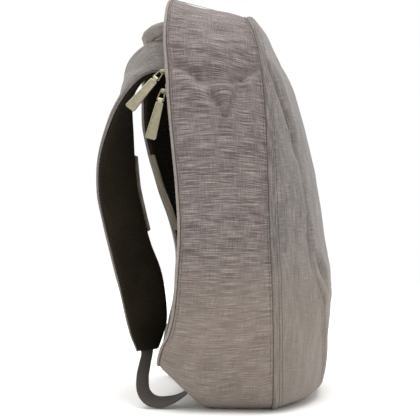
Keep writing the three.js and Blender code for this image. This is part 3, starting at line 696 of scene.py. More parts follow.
def ring_section(width, height, squareness, count):
    """Closed rounded section, as shares of a turn to (across, out)."""

    def at(share):
        turn = share * 2 * math.pi
        sine, cosine = np.sin(turn), np.cos(turn)
        radius = (np.abs(sine) ** squareness + np.abs(cosine) ** squareness) ** (-1 / squareness)
        return width / 2 * radius * cosine, height / 2 * radius * sine

    return at


def copies(shape, matrices):
    """Turns a small shape into one copy of it at every matrix."""
    corners = np.array([[*v.co, 1] for v in shape.verts])
    count = 1
    while count < len(matrices):
        bmesh.ops.duplicate(shape, geom=shape.verts[:] + shape.edges[:] + shape.faces[:])
        count *= 2
    surplus = shape.verts[:][len(corners) * len(matrices) :]
    bmesh.ops.delete(shape, geom=surplus, context="VERTS")
    places = np.einsum("nij,kj->nki", np.array(matrices), corners)[..., :3].reshape(-1, 3)
    for vertex, place in zip(shape.verts, places):
        vertex.co = place
    return shape


def thread_shape(sides=6, rings=4):
    bm = bmesh.new()
    bmesh.ops.create_uvsphere(bm, u_segments=sides, v_segments=rings, radius=1)
    return bm


def stitches(points, normals, length, gap, radius, lift=0.3):
    """Places of raised thread stitches along a line of close points on a surface."""
    matrices = []
    steps = np.linalg.norm(np.diff(points, axis=0), axis=1)
    reach = from_start(steps)
    count = int(reach[-1] / (length + gap))
    for i in range(count):
        ends = [(i + share) * reach[-1] / count for share in (0, length / (length + gap))]
        spots = [np.array([np.interp(end, reach, points[:, k]) for k in range(3)]) for end in ends]
        normal = unit(np.array([np.interp(sum(ends) / 2, reach, normals[:, k]) for k in range(3)]))
        along = spots[1] - spots[0]
        size = np.linalg.norm(along)
        if size < length * 0.3:
            continue
        along = along / size
        side = unit(np.cross(normal, along))
        up = np.cross(along, side)
        centre = (spots[0] + spots[1]) / 2 + normal * radius * lift
        matrix = np.identity(4)
        matrix[:3] = np.stack([side * radius, up * radius, along * size / 2, centre], axis=1)
        matrices.append(matrix)
    return matrices


# ---- Materials


def add_node(tree, kind, inputs=None, **settings):
    """A node with its settings, its fixed inputs and its links."""
    node = tree.nodes.new(kind)
    for key, value in settings.items():
        setattr(node, key, value)
    for socket, value in (inputs or {}).items():
        if isinstance(value, bpy.types.NodeSocket):
            tree.links.new(value, node.inputs[socket])
        else:
            node.inputs[socket].default_value = value
    return node


def new_material(name, colour, roughness, **shader_inputs):
    """A material with its shader, whose constant values are set on the shader itself."""
    material = bpy.data.materials.new(name)
    material.use_nodes = True
    tree = material.node_tree
    tree.nodes.clear()
    output = add_node(tree, "ShaderNodeOutputMaterial")
    shader = add_node(tree, "ShaderNodeBsdfPrincipled", {"Base Color": (*colour, 1), "Roughness": roughness})
    for socket, value in shader_inputs.items():
        shader.inputs[socket.replace("_", " ").title().replace("Ior", "IOR")].default_value = value
    tree.links.new(shader.outputs["BSDF"], output.inputs["Surface"])
    material.diffuse_color = (*colour, 1)
    return material, tree, shader


def cloth_millimetres(tree, across, along):
    """The piece's own UV map, where one step is across by along millimetres."""
    uv = add_node(tree, "ShaderNodeUVMap", uv_map="Cloth")
    scale = (1000 / across, 1000 / along, 1)
    return add_node(tree, "ShaderNodeMapping", {"Vector": uv.outputs["UV"], "Scale": scale}).outputs["Vector"]


def yarn(tree, across, along, detail=2.0, roughness=0.55):
    """Uneven yarn: noise drawn out to the slub's width and length in millimetres."""
    vector = cloth_millimetres(tree, across, along)
    settings = {"Vector": vector, "Scale": 1.0, "Detail": detail, "Roughness": roughness}
    return add_node(tree, "ShaderNodeTexNoise", settings).outputs["Fac"]


def spread(tree, value, low, high, to_low=0.0, to_high=1.0):
    """A value's range stretched to another one."""
    settings = {"Value": value, "From Min": low, "From Max": high, "To Min": to_low, "To Max": to_high}
    return add_node(tree, "ShaderNodeMapRange", settings, interpolation_type="SMOOTHSTEP").outputs["Result"]


def blend_colour(tree, factor, low, high, kind="MIX"):
    """A mix of two colours, each a socket or a fixed linear colour."""
    low, high = (c if isinstance(c, bpy.types.NodeSocket) else (*c, 1)[:4] for c in (low, high))
    node = add_node(tree, "ShaderNodeMix", {0: factor, 6: low, 7: high}, data_type="RGBA", blend_type=kind)
    return node.outputs[2]


def calculate(tree, operation, first, second=0.5):
    return add_node(tree, "ShaderNodeMath", {0: first, 1: second}, operation=operation).outputs[0]


def weave(tree, spacing):
    """Over and under of a plain weave, with its thread spacing in millimetres."""
    vector = cloth_millimetres(tree, spacing / math.pi, spacing / math.pi)
    parts = add_node(tree, "ShaderNodeSeparateXYZ", {0: vector})
    waves = [calculate(tree, "SINE", parts.outputs[k]) for k in (0, 1)]
    return calculate(tree, "MULTIPLY", waves[0], waves[1])


def sewn_line(tree, distance, half):
    """1 on a line at a distance in metres from the nearest sewn edge, falling to 0 over half."""
    edge = add_node(tree, "ShaderNodeAttribute", attribute_name="Seam").outputs["Fac"]
    away = calculate(tree, "ABSOLUTE", calculate(tree, "SUBTRACT", edge, distance))
    return spread(tree, away, 0.0, half, 1.0, 0.0)


def bump(tree, shader, *heights):
    """Adds up heights, each a socket and its height in metres, and gives the shader their normal."""
    total = None
    for height, rise in heights:
        scaled = calculate(tree, "MULTIPLY", height, rise * 1000)
        total = scaled if total is None else calculate(tree, "ADD", total, scaled)
    node = add_node(tree, "ShaderNodeBump", {"Height": total, "Distance": 0.001, "Strength": 1.0})
    tree.links.new(node.outputs["Normal"], shader.inputs["Normal"])


def heather_cloth(name, colours, ground, contrast=1.0, lines=()):
    """Melange polyester, plain woven from slub yarn: matt, streaked along the weft, softly hairy."""
    material, tree, shader = new_material(
        name, ground, 0.86, specular_ior_level=0.25, sheen_weight=0.15, sheen_roughness=0.5
    )
    fine = yarn(tree, 0.8, 22.0, 2.0)
    slub = yarn(tree, 1.2, 38.0, 2.0)
    cross = yarn(tree, 14.0, 1.1, 2.0)
    speck = yarn(tree, 1.0, 2.2, 2.0)
    patch = yarn(tree, 14.0, 60.0, 2.0)
    light = spread(tree, fine, 0.46, 0.7, 0.0, 0.55 * contrast)
    colour = blend_colour(tree, light, ground, colours.heather_light)
    colour = blend_colour(tree, spread(tree, cross, 0.48, 0.72, 0.0, 0.27), colour, colours.heather_light)
    colour = blend_colour(tree, spread(tree, patch, 0.35, 0.65, 0.0, 0.14), colour, colours.heather_light)
    dark = spread(tree, slub, 0.47, 0.3, 0.0, 0.7 * contrast)
    colour = blend_colour(tree, dark, colour, colours.heather_dark)
    thin = spread(tree, fine, 0.5, 0.32, 0.0, 0.65 * contrast)
    colour = blend_colour(tree, thin, colour, colours.heather_dark)
    colour = blend_colour(tree, spread(tree, cross, 0.45, 0.3, 0.0, 0.3), colour, colours.heather_dark)
    colour = blend_colour(tree, spread(tree, speck, 0.45, 0.28, 0.0, 0.3), colour, colours.heather_dark)
    # Painted warm light: the cloth turns warmer low on the bag, fully below 0.1 m and fading out by 0.2 m.
    place = add_node(tree, "ShaderNodeTexCoord").outputs["Object"]
    height = add_node(tree, "ShaderNodeSeparateXYZ", {0: place}).outputs["Z"]
    low = spread(tree, height, 0.2, 0.1, 0.0, 0.38)
    colour = blend_colour(tree, low, colour, colours.painted_warm_light)
    heights = [(weave(tree, 0.9), 0.00005), (fine, 0.00018), (cross, 0.0001)]
    for distance, half in lines:
        line = sewn_line(tree, distance, half)
        # Painted shade: the cloth is darker along each sewn line, in the groove that the bump sinks there.
        colour = blend_colour(tree, calculate(tree, "MULTIPLY", line, 0.55), colour, colours.heather_dark)
        heights.append((line, -0.0005))
    tree.links.new(colour, shader.inputs["Base Color"])
    rough = spread(tree, slub, 0.3, 0.7, 0.8, 0.92)
    tree.links.new(rough, shader.inputs["Roughness"])
    bump(tree, shader, *heights)
    return material


def trim_cloth(name, colours, ground):
    """Light polyester bias tape, woven and folded: matt, with a fine cross grain."""
    material, tree, shader = new_material(name, ground, 0.82, specular_ior_level=0.25, sheen_weight=0.1)
    grain = yarn(tree, 0.8, 3.0, 3.0)
    long = yarn(tree, 2.5, 20.0, 2.0)
    dark = spread(tree, grain, 0.52, 0.3, 0.0, 0.55)
    colour = blend_colour(tree, dark, ground, colours.heather_dark)
    colour = blend_colour(tree, spread(tree, long, 0.45, 0.7, 0.0, 0.35), colour, colours.heather_light)
    tree.links.new(colour, shader.inputs["Base Color"])
    bump(tree, shader, (weave(tree, 0.8), 0.00006), (grain, 0.00015))
    return material


def mesh_cloth(name, colours):
    """Warp-knitted polyester spacer mesh: soft black, with small round holes in even rows."""
    material, tree, shader = new_material(
        name, colours.mesh, 0.93, specular_ior_level=0.08, sheen_weight=0.03
    )
    # The real holes are about 2 mm apart. They are drawn 2.4 mm apart, so that they show.
    vector = cloth_millimetres(tree, 2.4, 2.4)
    holes = add_node(tree, "ShaderNodeTexVoronoi", {"Vector": vector, "Scale": 1.0, "Randomness": 0.12})
    pit = spread(tree, holes.outputs["Distance"], 0.12, 0.42, 0.0, 1.0)
    fluff = yarn(tree, 0.7, 0.7, 3.0)
    tone = spread(tree, yarn(tree, 30.0, 40.0, 2.0), 0.3, 0.7, 0.75, 1.2)
    # A lighter copy of the mesh, for painted sheen on the fluff.
    painted_fluff_sheen = tuple(min(c * 1.7 + 0.002, 1) for c in colours.mesh)
    # A darker copy of the mesh, for painted shade in the holes.
    painted_hole_shade = tuple(c * 0.8 for c in colours.mesh)
    # Painted shade: the mesh is darker in the middle of each hole.
    colour = blend_colour(tree, pit, painted_hole_shade, colours.mesh)
    # Painted sheen: the mesh is lighter where the fluff is.
    colour = blend_colour(tree, spread(tree, fluff, 0.5, 0.75, 0.0, 0.5), colour, painted_fluff_sheen)
    bright = add_node(tree, "ShaderNodeHueSaturation", {"Color": colour, "Value": tone})
    tree.links.new(bright.outputs["Color"], shader.inputs["Base Color"])
    bump(tree, shader, (pit, 0.0004), (fluff, 0.00015), (sewn_line(tree, 0.012, 0.0015), -0.0006))
    return material


def webbing_cloth(name, colours):
    """Polypropylene webbing, narrow-woven with lengthwise ribs: dull sheen along the ribs."""
    material, tree, shader = new_material(
        name, colours.webbing, 0.7, specular_ior_level=0.3, sheen_weight=0.15
    )
    # Ribs run along the webbing, 2 mm apart, and the picks cross them every 1.2 mm.
    vector = cloth_millimetres(tree, 2.0 / (2 * math.pi), 1.2 / (2 * math.pi))
    parts = add_node(tree, "ShaderNodeSeparateXYZ", {0: vector})
    ribs = calculate(tree, "SINE", parts.outputs[0])
    shifted = calculate(tree, "ADD", parts.outputs[1], ribs)
    picks = calculate(tree, "SINE", shifted)
    fuzz = yarn(tree, 0.5, 4.0, 3.0)
    # A lighter copy of the webbing, for painted highlights on the raised picks.
    light = tuple(min(c * 1.9, 1) for c in colours.webbing)
    # A darker copy of the webbing, for painted shade between the ribs and for the random darker fuzz.
    dark = tuple(c * 0.5 for c in colours.webbing)
    # Painted highlight: the webbing is lighter on the crests of the picks.
    colour = blend_colour(tree, spread(tree, picks, -1, 1, 0.0, 0.5), colours.webbing, light)
    # Painted shade: the webbing is darker in the grooves between the ribs.
    colour = blend_colour(tree, spread(tree, ribs, -0.4, -1.0, 0.0, 0.6), colour, dark)
    colour = blend_colour(tree, spread(tree, fuzz, 0.5, 0.3, 0.0, 0.4), colour, dark)
    tree.links.new(colour, shader.inputs["Base Color"])
    bump(tree, shader, (ribs, 0.0002), (picks, 0.0001), (fuzz, 0.0001))
    return material


def satin_zinc(name, colours):
    """Die-cast zinc, satin nickel plated and brushed lengthwise: warm soft gloss, brighter worn edges."""
    material, tree, shader = new_material(name, colours.metal, 0.34, metallic=1.0, anisotropic=0.35)
    place = add_node(tree, "ShaderNodeTexCoord").outputs["Object"]
    # Brush lines are about 0.15 mm apart, drawn at 0.35 mm so that they show.
    stretched = add_node(tree, "ShaderNodeMapping", {"Vector": place, "Scale": (2800, 2800, 180)})
    settings = {"Vector": stretched.outputs["Vector"], "Scale": 1.0, "Detail": 3.0}
    brushed = add_node(tree, "ShaderNodeTexNoise", settings)
    cloud = add_node(tree, "ShaderNodeTexNoise", {"Vector": place, "Scale": 260.0, "Detail": 4.0})
    point = add_node(tree, "ShaderNodeNewGeometry").outputs["Pointiness"]
    worn = spread(tree, point, 0.52, 0.6, 0.0, 0.7)
    light = tuple(min(c * 1.2 + 0.04, 1) for c in colours.metal)
    dull = tuple(c * 0.72 for c in colours.metal)
    colour = blend_colour(tree, spread(tree, cloud.outputs["Fac"], 0.35, 0.65, 0.0, 0.5), colours.metal, dull)
    colour = blend_colour(tree, worn, colour, light)
    tree.links.new(colour, shader.inputs["Base Color"])
    rough = spread(tree, brushed.outputs["Fac"], 0.3, 0.7, 0.26, 0.46)
    tree.links.new(rough, shader.inputs["Roughness"])
    bump(tree, shader, (brushed.outputs["Fac"], 0.00002), (cloud.outputs["Fac"], 0.00002))
    return material


def nylon_coil(name, colours):
    """Nylon monofilament, heat-set into zip teeth: smooth, glossy black with faint rub marks."""
    material, tree, shader = new_material(name, colours.coil, 0.35, specular_ior_level=0.5, ior=1.53)
    place = add_node(tree, "ShaderNodeTexCoord").outputs["Object"]
    rub = add_node(tree, "ShaderNodeTexNoise", {"Vector": place, "Scale": 900.0, "Detail": 3.0})
    light = tuple(c * 2.5 + 0.01 for c in colours.coil)
    colour = blend_colour(tree, spread(tree, rub.outputs["Fac"], 0.5, 0.7, 0.0, 0.6), colours.coil, light)
    tree.links.new(colour, shader.inputs["Base Color"])
    tree.links.new(spread(tree, rub.outputs["Fac"], 0.3, 0.7, 0.28, 0.5), shader.inputs["Roughness"])
    return material


def sewing_thread(name, colours):
    """Spun polyester thread, two plies twisted: dull, with a fine diagonal lay."""
    material, tree, shader = new_material(
        name, colours.thread, 0.75, specular_ior_level=0.3, sheen_weight=0.2
    )
    place = add_node(tree, "ShaderNodeTexCoord").outputs["Object"]
    lay = add_node(tree, "ShaderNodeTexNoise", {"Vector": place, "Scale": 1800.0, "Detail": 2.0})
    dark = tuple(c * 0.55 for c in colours.thread)
    colour = blend_colour(tree, spread(tree, lay.outputs["Fac"], 0.35, 0.65), dark, colours.thread)
    tree.links.new(colour, shader.inputs["Base Color"])
    bump(tree, shader, (lay.outputs["Fac"], 0.00008))
    return material


def painted_floor(name, colours):
    """Matt emulsion on board, rolled: almost even, with a faint uneven dullness."""
    material, tree, shader = new_material(name, colours.floor, 0.8, specular_ior_level=0.15)
    place = add_node(tree, "ShaderNodeTexCoord").outputs["Object"]
    rolled = add_node(tree, "ShaderNodeTexNoise", {"Vector": place, "Scale": 6.0, "Detail": 3.0})
    tree.links.new(spread(tree, rolled.outputs["Fac"], 0.3, 0.7, 0.76, 0.84), shader.inputs["Roughness"])
    return material


MATERIALS = {
    "heather": lambda c: heather_cloth(
        "Melange polyester, plain woven", c, c.heather_mid, lines=((0.0, 0.0012),)
    ),
    "heather front": lambda c: heather_cloth(
        "Melange polyester, front panel", c, c.heather_front, 0.6, lines=((0.0, 0.0015), (0.0045, 0.0006))
    ),
    "heather strap": lambda c: heather_cloth("Melange polyester, strap cover", c, c.heather_front, 0.6),
    "trim": lambda c: trim_cloth("Polyester bias tape, folded", c, c.trim),
    "strip": lambda c: trim_cloth("Polyester grosgrain, folded", c, c.strip),
    "mesh": lambda c: mesh_cloth("Polyester spacer mesh, knitted", c),
    "webbing": lambda c: webbing_cloth("Polypropylene webbing, ribbed", c),
    "metal": lambda c: satin_zinc("Die-cast zinc, satin nickel plated", c),
    "coil": lambda c: nylon_coil("Nylon monofilament, heat-set", c),
    "thread": lambda c: sewing_thread("Spun polyester thread", c),
    "floor": lambda c: painted_floor("Matt emulsion, rolled", c),
}


def material_for(context, name):
    """The finish of that name, made once."""
    made = context.scene.get("daypack_finish_" + name)
    if made and made in bpy.data.materials:
        return bpy.data.materials[made]
    material = MATERIALS[name](context.scene.daypack_colours)
    context.scene["daypack_finish_" + name] = material.name
    return material


# ---- Operators: the bag's body


class DAYPACK_OT_side_wall(bpy.types.Operator):
    """Makes the streaked side wall that runs round the bag, with its dents, wrinkles and stitching"""

    bl_idname = "daypack.side_wall"
    bl_label = "Side wall"

    def execute(self, context):
        sizes = context.scene.daypack_body
        body = Body(sizes)

        # Shares round the rim, closer together on the near shoulder, where the wrinkles are.
        even = np.linspace(0, 1, 2001)
        pace = np.cumsum(1 / (1 + 1.6 * np.exp(-(((even - 0.87) / 0.07) ** 2))))
        shares = lambda s: np.interp(s, np.linspace(0, 1, 2001), np.interp(even * pace[-1], pace, even))

        def place(s, t):
            return body.side(body.angle(shares(s)), t)

        def measure(s, t, points):
            return np.stack([body.round_way(s, points), body.rim_y(points[:, 2]) - points[:, 1]], axis=-1)

        def relief(s, t, points):
            x, z = points[:, 0], points[:, 2]
            names = ("depth", "up", "to_depth", "to_up")
            size = sizes.depth * 0.62
            rows = [
                {**row, "depth": row["depth"] * size, "to_depth": row["to_depth"] * size}
                | {"up": row["up"] * sizes.height, "to_up": row["to_up"] * sizes.height}
                for row in SIDE_WRINKLES
            ]
            share = np.where(x < 0, 1, FAR_DENT_SHARE)
            over = z - body.shoulder(t) * sizes.height
            fading = np.where(over > 0, np.exp(-np.maximum(over, 0) / SHOULDER_FADE), 0)
            roll = fading * np.clip(over / SHOULDER_START + 1, 0, 1)
            roll = np.where(over > 0, roll, np.clip(over / 0.006 + 1, 0, 1) ** 2)
            folds = creases(rows, t * size, z, names) + SHOULDER_RISE * roll
            folds = folds * body.on_side(x) * share
            soft = ripples(points, 0.045, 0.0011) + ripples(points, 0.018, 0.0005, 3.0)
            edge = np.clip(np.minimum(t, 1 - t) / 0.06, 0, 1)
            lower = np.clip((z - 0.001) / 0.01, 0, 1)
            return (folds + soft) * edge * lower

        def seam(s, t, points):
            length = body.rim_y(points[:, 2]) - body.seam_y(points[:, 2])
            return np.minimum(t, 1 - t) * length

        bm = bent_grid(600, 76, place, measure, relief, merge=1e-5, seam=seam)
        face_out(bm, (0, 0.02, 0.2))
        wall = finish(
            bm, "side_wall", material_for(context, "heather"), replaces=["gusset"]
        )
        thicken(wall, sizes.wall)
        threads = []
        turns = body.angle(np.linspace(0, 1, 1441))
        for depth in (0.028, 0.972):
            points = body.side(turns, np.full_like(turns, depth))
            inner = body.side(turns, np.full_like(turns, depth), 0.004)
            threads += stitches(points, unit(points - inner), *BODY_STITCH)
        finish(copies(thread_shape(), threads), "side_stitching", material_for(context, "thread"))
        return {"FINISHED"}


class DAYPACK_OT_front(bpy.types.Operator):
    """Makes the domed front with its creases, its lower pleat and its stitching"""

    bl_idname = "daypack.front"
    bl_label = "Front"

    def execute(self, context):
        sizes = context.scene.daypack_body
        body = Body(sizes)
        top = float(body.station(1.0, 0.0)["top"])
        fine = np.linspace(0, 1, 4001) ** 0.999 * top
        half = body.front_half(fine)
        profile = body.front_y(np.zeros_like(fine), fine)
        pace = np.hypot(np.hypot(np.diff(fine), np.diff(half)), np.diff(profile))
        reach = from_start(pace)
        heights = lambda t: np.interp(t * reach[-1], reach, fine)
        sideways = np.linspace(-1, 1, 401)

        def even_side(s):
            """Spaces the columns evenly over the dome, which is steep near its sides."""
            shape = np.hypot(np.diff(sideways) * 0.138, np.diff(0.045 * np.abs(sideways) ** DOME_POWER))
            length = from_start(shape)
            return np.interp(s * length[-1], length, sideways)

        def place(s, t):
            z = heights(t)
            x = even_side(s) * body.front_half(z)
            return stack(x, body.front_y(x, z), z)

        def measure(s, t, points):
            out = np.abs(even_side(s))
            rise = sizes.depth * body.front(points[:, 2] / sizes.height)
            across = np.sign(points[:, 0]) * np.hypot(points[:, 0], rise * out**DOME_POWER * 0.9)
            return np.stack([across, points[:, 2] + 0.7], axis=-1)

        def relief(s, t, points):
            x, z = points[:, 0], points[:, 2]
            side = np.abs(x)
            half_width = sizes.width / 2
            rows = [
                {**row, "side": row["side"] * half_width, "to_side": row["to_side"] * half_width}
                | {"up": row["up"] * sizes.height, "to_up": row["to_up"] * sizes.height}
                for row in FRONT_CREASES
            ]
            share = np.where(x < 0, 1, 0.8)
            folds = creases(rows, side, z, ("side", "up", "to_side", "to_up")) * share
            inside = body.pleat_side(z / sizes.height) * half_width - side
            deep = PLEAT_DEPTH * body.pleat_deep(z / sizes.height)
            under = -deep * np.exp(-(((inside - 0.0035) / 0.0032) ** 2))
            hem = 0.4 * deep * np.exp(-(((inside + 0.0016) / 0.0022) ** 2))
            hem = hem + 0.4 * deep * np.exp(-(((inside - 0.02) / 0.012) ** 2))
            soft = ripples(points, 0.05, 0.0014, 5.0) + ripples(points, 0.02, 0.0006, 9.0)
            edge = np.clip((1 - np.abs(x) / np.maximum(body.front_half(z), 1e-4)) / 0.08, 0, 1)
            ends = np.clip(z / 0.02, 0, 1) * np.clip((top - z) / 0.01, 0, 1)
            return (folds + under + hem + soft) * edge * ends

        def seam(s, t, points):
            x, z = points[:, 0], points[:, 2]
            inward = body.front_half(z) - np.abs(x)
            drop = body.seam_y(z) - body.front_edge - points[:, 1]
            return np.where(inward < 0.06, np.hypot(inward, drop), 1.0)

        bm = bent_grid(168, 262, place, measure, relief, merge=1e-5, seam=seam)
        face_out(bm, (0, 0.02, 0.2))
        panel = finish(
            bm,
            "front_cloth",
            material_for(context, "heather front"),
            replaces=["front_panel"],
        )
        thicken(panel, sizes.wall)
        turns = body.angle(np.linspace(0, 1, 1441))
        x, z = body.outline(body.station(1.0, 0.0032), turns)
        keep = z > 0.012
        order = np.roll(np.arange(len(z)), -int(np.argmin(keep)))
        order = order[keep[order]]
        x, z = x[order], z[order]
        nudge = 1e-4
        slope = (body.front_y(x + nudge, z) - body.front_y(x - nudge, z)) / (2 * nudge)
        outward = unit(stack(slope, -1, 0 * z))
        line = stitches(stack(x, body.front_y(x, z), z), outward, *BODY_STITCH)
        finish(copies(thread_shape(), line), "front_stitching", material_for(context, "thread"))
        return {"FINISHED"}


class DAYPACK_OT_trims(bpy.types.Operator):
    """Makes the topstitched welt of the front seam and the piping of the back rim"""

    bl_idname = "daypack.trims"
    bl_label = "Welt and piping"

    def execute(self, context):
        sizes = context.scene.daypack_body
        body = Body(sizes)
        span = sizes.welt_width + 2 * sizes.seam_gap + 0.0002
        section = ring_section(sizes.welt_raise * 2 + 0.001, span, 3.2, 16)

        def welt(s, t):
            inset, forward = section(t)
            return body.seam_point(body.angle(s), 0.0005 - inset, body.front_edge / 2 + forward)

        def welt_uv(s, t, points):
            return np.stack([t * 0.014, s * body.perimeter], axis=-1)

        def pucker(s, t, points):
            stitched = 0.0001 * np.sin(s * body.perimeter / 0.0041 * 2 * math.pi)
            return stitched + ripples(points, 0.012, 0.00025)

        bm = bent_grid(720, 14, welt, welt_uv, pucker, merge=1e-5)
        face_out_closed(bm)
        material = material_for(context, "heather front")
        finish(bm, "seam_tape", material, replaces=["seam_welt"])

        radius = sizes.piping / 2

        def piping(s, t):
            turn = t * 2 * math.pi
            swell = radius * (1 + 0.04 * np.sin(s * body.perimeter / 0.006 * 2 * math.pi))
            inset, back = radius - swell * np.cos(turn), COIL_LIFT + radius + swell * np.sin(turn)
            return body.rim_point(body.angle(s), inset, back)

        def piping_uv(s, t, points):
            return np.stack([t * 2 * math.pi * radius, s * body.perimeter], axis=-1)

        bm = bent_grid(900, 12, piping, piping_uv, merge=1e-5)
        face_out_closed(bm)
        finish(bm, "rim_piping", material_for(context, "trim"), replaces=["back_piping"])
        return {"FINISHED"}


class DAYPACK_OT_zip(bpy.types.Operator):
    """Makes the woven zip tape and the rows of nylon teeth, hidden against the wearer's back"""

    bl_idname = "daypack.zip"
    bl_label = "Hidden zip"

    def execute(self, context):
        sizes = context.scene.daypack_body
        body = Body(sizes)
        start = sizes.piping + COIL_LIFT - 0.0003

        def tape(s, t):
            return body.rim_point(body.angle(s), start + t * (sizes.tape_width + 0.0006), TAPE_TOP)

        def tape_uv(s, t, points):
            return np.stack([t * sizes.tape_width, s * body.perimeter], axis=-1)

        def tape_relief(s, t, points):
            lip = np.exp(-(((t - 0.5) / 0.2) ** 2))
            return ripples(points, 0.02, 0.0002) - 0.0003 * lip

        bm = bent_grid(420, 10, tape, tape_uv, tape_relief, merge=1e-5)
        face_out(bm, (0, -0.4, 0.2))
        material = material_for(context, "mesh")
        cloth = finish(bm, "zip_cloth", material, replaces=["zip_tape"])
        thicken(cloth, sizes.tape_thickness)

        teeth = []
        lift = TAPE_TOP + COIL_LIFT + sizes.coil_height * 0.42
        shares = np.linspace(0, 1, 2001)
        middle = body.rim_point(body.angle(shares), body.zip_inset, lift)
        steps = from_start(np.linalg.norm(np.diff(middle, axis=0), axis=1))
        count = int(steps[-1] / (sizes.tooth_pitch / 2))
        for i in range(count):
            share = np.interp(i * steps[-1] / count, steps, shares)
            angle = body.angle(share)
            centre, ahead = (body.rim_point(body.angle(share + d), body.zip_inset, lift) for d in (0, 0.0005))
            if centre[2] < COIL_END * sizes.height:
                continue
            side = 1 if i % 2 else -1
            inner = body.rim_point(angle, body.zip_inset + 0.001, lift)
            across = unit(inner - centre)
            along = unit(ahead - centre)
            out = unit(np.cross(along, across))
            spot = centre + across * side * sizes.coil_width * 0.14
            half = (sizes.coil_width * 0.36, sizes.tooth_pitch * 0.22, sizes.coil_height * 0.5)
            matrix = np.identity(4)
            matrix[:3] = np.stack([out * half[2], along * half[1], across * half[0], spot], axis=1)
            teeth.append(matrix)
        coil = copies(thread_shape(8, 5), teeth)
        face_out_closed(coil)
        finish(coil, "zip_teeth", material_for(context, "coil"), replaces=["zip_coil"])
        return {"FINISHED"}


class DAYPACK_OT_back_cushion(bpy.types.Operator):
    """Makes the padded mesh panel against the wearer's back"""

    bl_idname = "daypack.back_cushion"
    bl_label = "Back cushion"

    def execute(self, context):
        sizes = context.scene.daypack_body
        body = Body(sizes)
        half = float(body.station(0.0, body.panel_edge)["half"])

        def place(s, t):
            inset = t * half
            stand = body.stand(inset / (sizes.width / 2))
            return body.rim_point(body.angle(s), body.panel_edge + inset, stand * sizes.padding)

        def measure(s, t, points):
            return points[:, [0, 2]]

        def relief(s, t, points):
            inset = t * half
            groove = -0.0016 * np.exp(-(((inset - 0.012) / 0.0022) ** 2))
            x, z = points[:, 0], points[:, 2]
            channel = -0.0022 * np.exp(-((np.abs(x) / 0.009) ** 2)) * np.clip((inset - 0.02) / 0.015, 0, 1)
            return groove + channel + ripples(points, 0.05, 0.0012, 2.0) * np.clip(inset / 0.02, 0, 1)

        def seam(s, t, points):
            return t * half

        bm = bent_grid(400, 72, place, measure, relief, merge=2e-4, seam=seam)
        face_out(bm, (0, -0.5, 0.2))
        pad = finish(
            bm, "back_cushion", material_for(context, "mesh"), replaces=["back_panel"]
        )
        thicken(pad, 0.003)
        turns = body.angle(np.linspace(0, 1, 1441))
        stand = float(body.stand(0.004 / (sizes.width / 2)))
        points = body.rim_point(turns, body.panel_edge + 0.004, stand * sizes.padding)
        normals = np.tile([0.0, 1.0, 0.0], (len(points), 1))
        threads = stitches(points, normals, *BACK_STITCH)
        finish(copies(thread_shape(), threads), "back_stitching", material_for(context, "coil"))
        return {"FINISHED"}


# ---- Operators: straps, webbing and handle


def band_frame(rows, side, share, back_name, roll_name):
    """Centres and axes of a hanging band at shares of its rows, in metres and unit vectors."""
    sizes = bpy.context.scene.daypack_body

    def centre(at):
        row = along_rows(rows, at)
        across = side * row["side"] * sizes.width / 2
        return stack(across, row[back_name] * sizes.depth, row["up"] * sizes.height)

    row = along_rows(rows, share)
    tangent = unit(centre(np.minimum(share + 0.02, 1)) - centre(np.maximum(share - 0.02, 0)))
    outward = unit(stack(0 * share, -tangent[:, 2], tangent[:, 1]))
    roll = np.radians(row[roll_name])[:, None]
    across = np.array([-side, 0, 0]) * np.cos(roll) + outward * np.sin(roll)
    across = unit(across - tangent * np.sum(across * tangent, axis=1, keepdims=True))
    face = unit(np.cross(across, tangent))
    face = face * np.sign(np.sum(face * outward, axis=1, keepdims=True))
    return row, centre(share), across, face


def band_length(rows, side, back_name):
    share = np.linspace(0, 1, 400)
    turn_name = next(k for k in rows[0] if k in ("left", "roll"))
    _, centres, _, _ = band_frame(rows, side, share, back_name, turn_name)
    return float(np.sum(np.linalg.norm(np.diff(centres, axis=0), axis=1)))


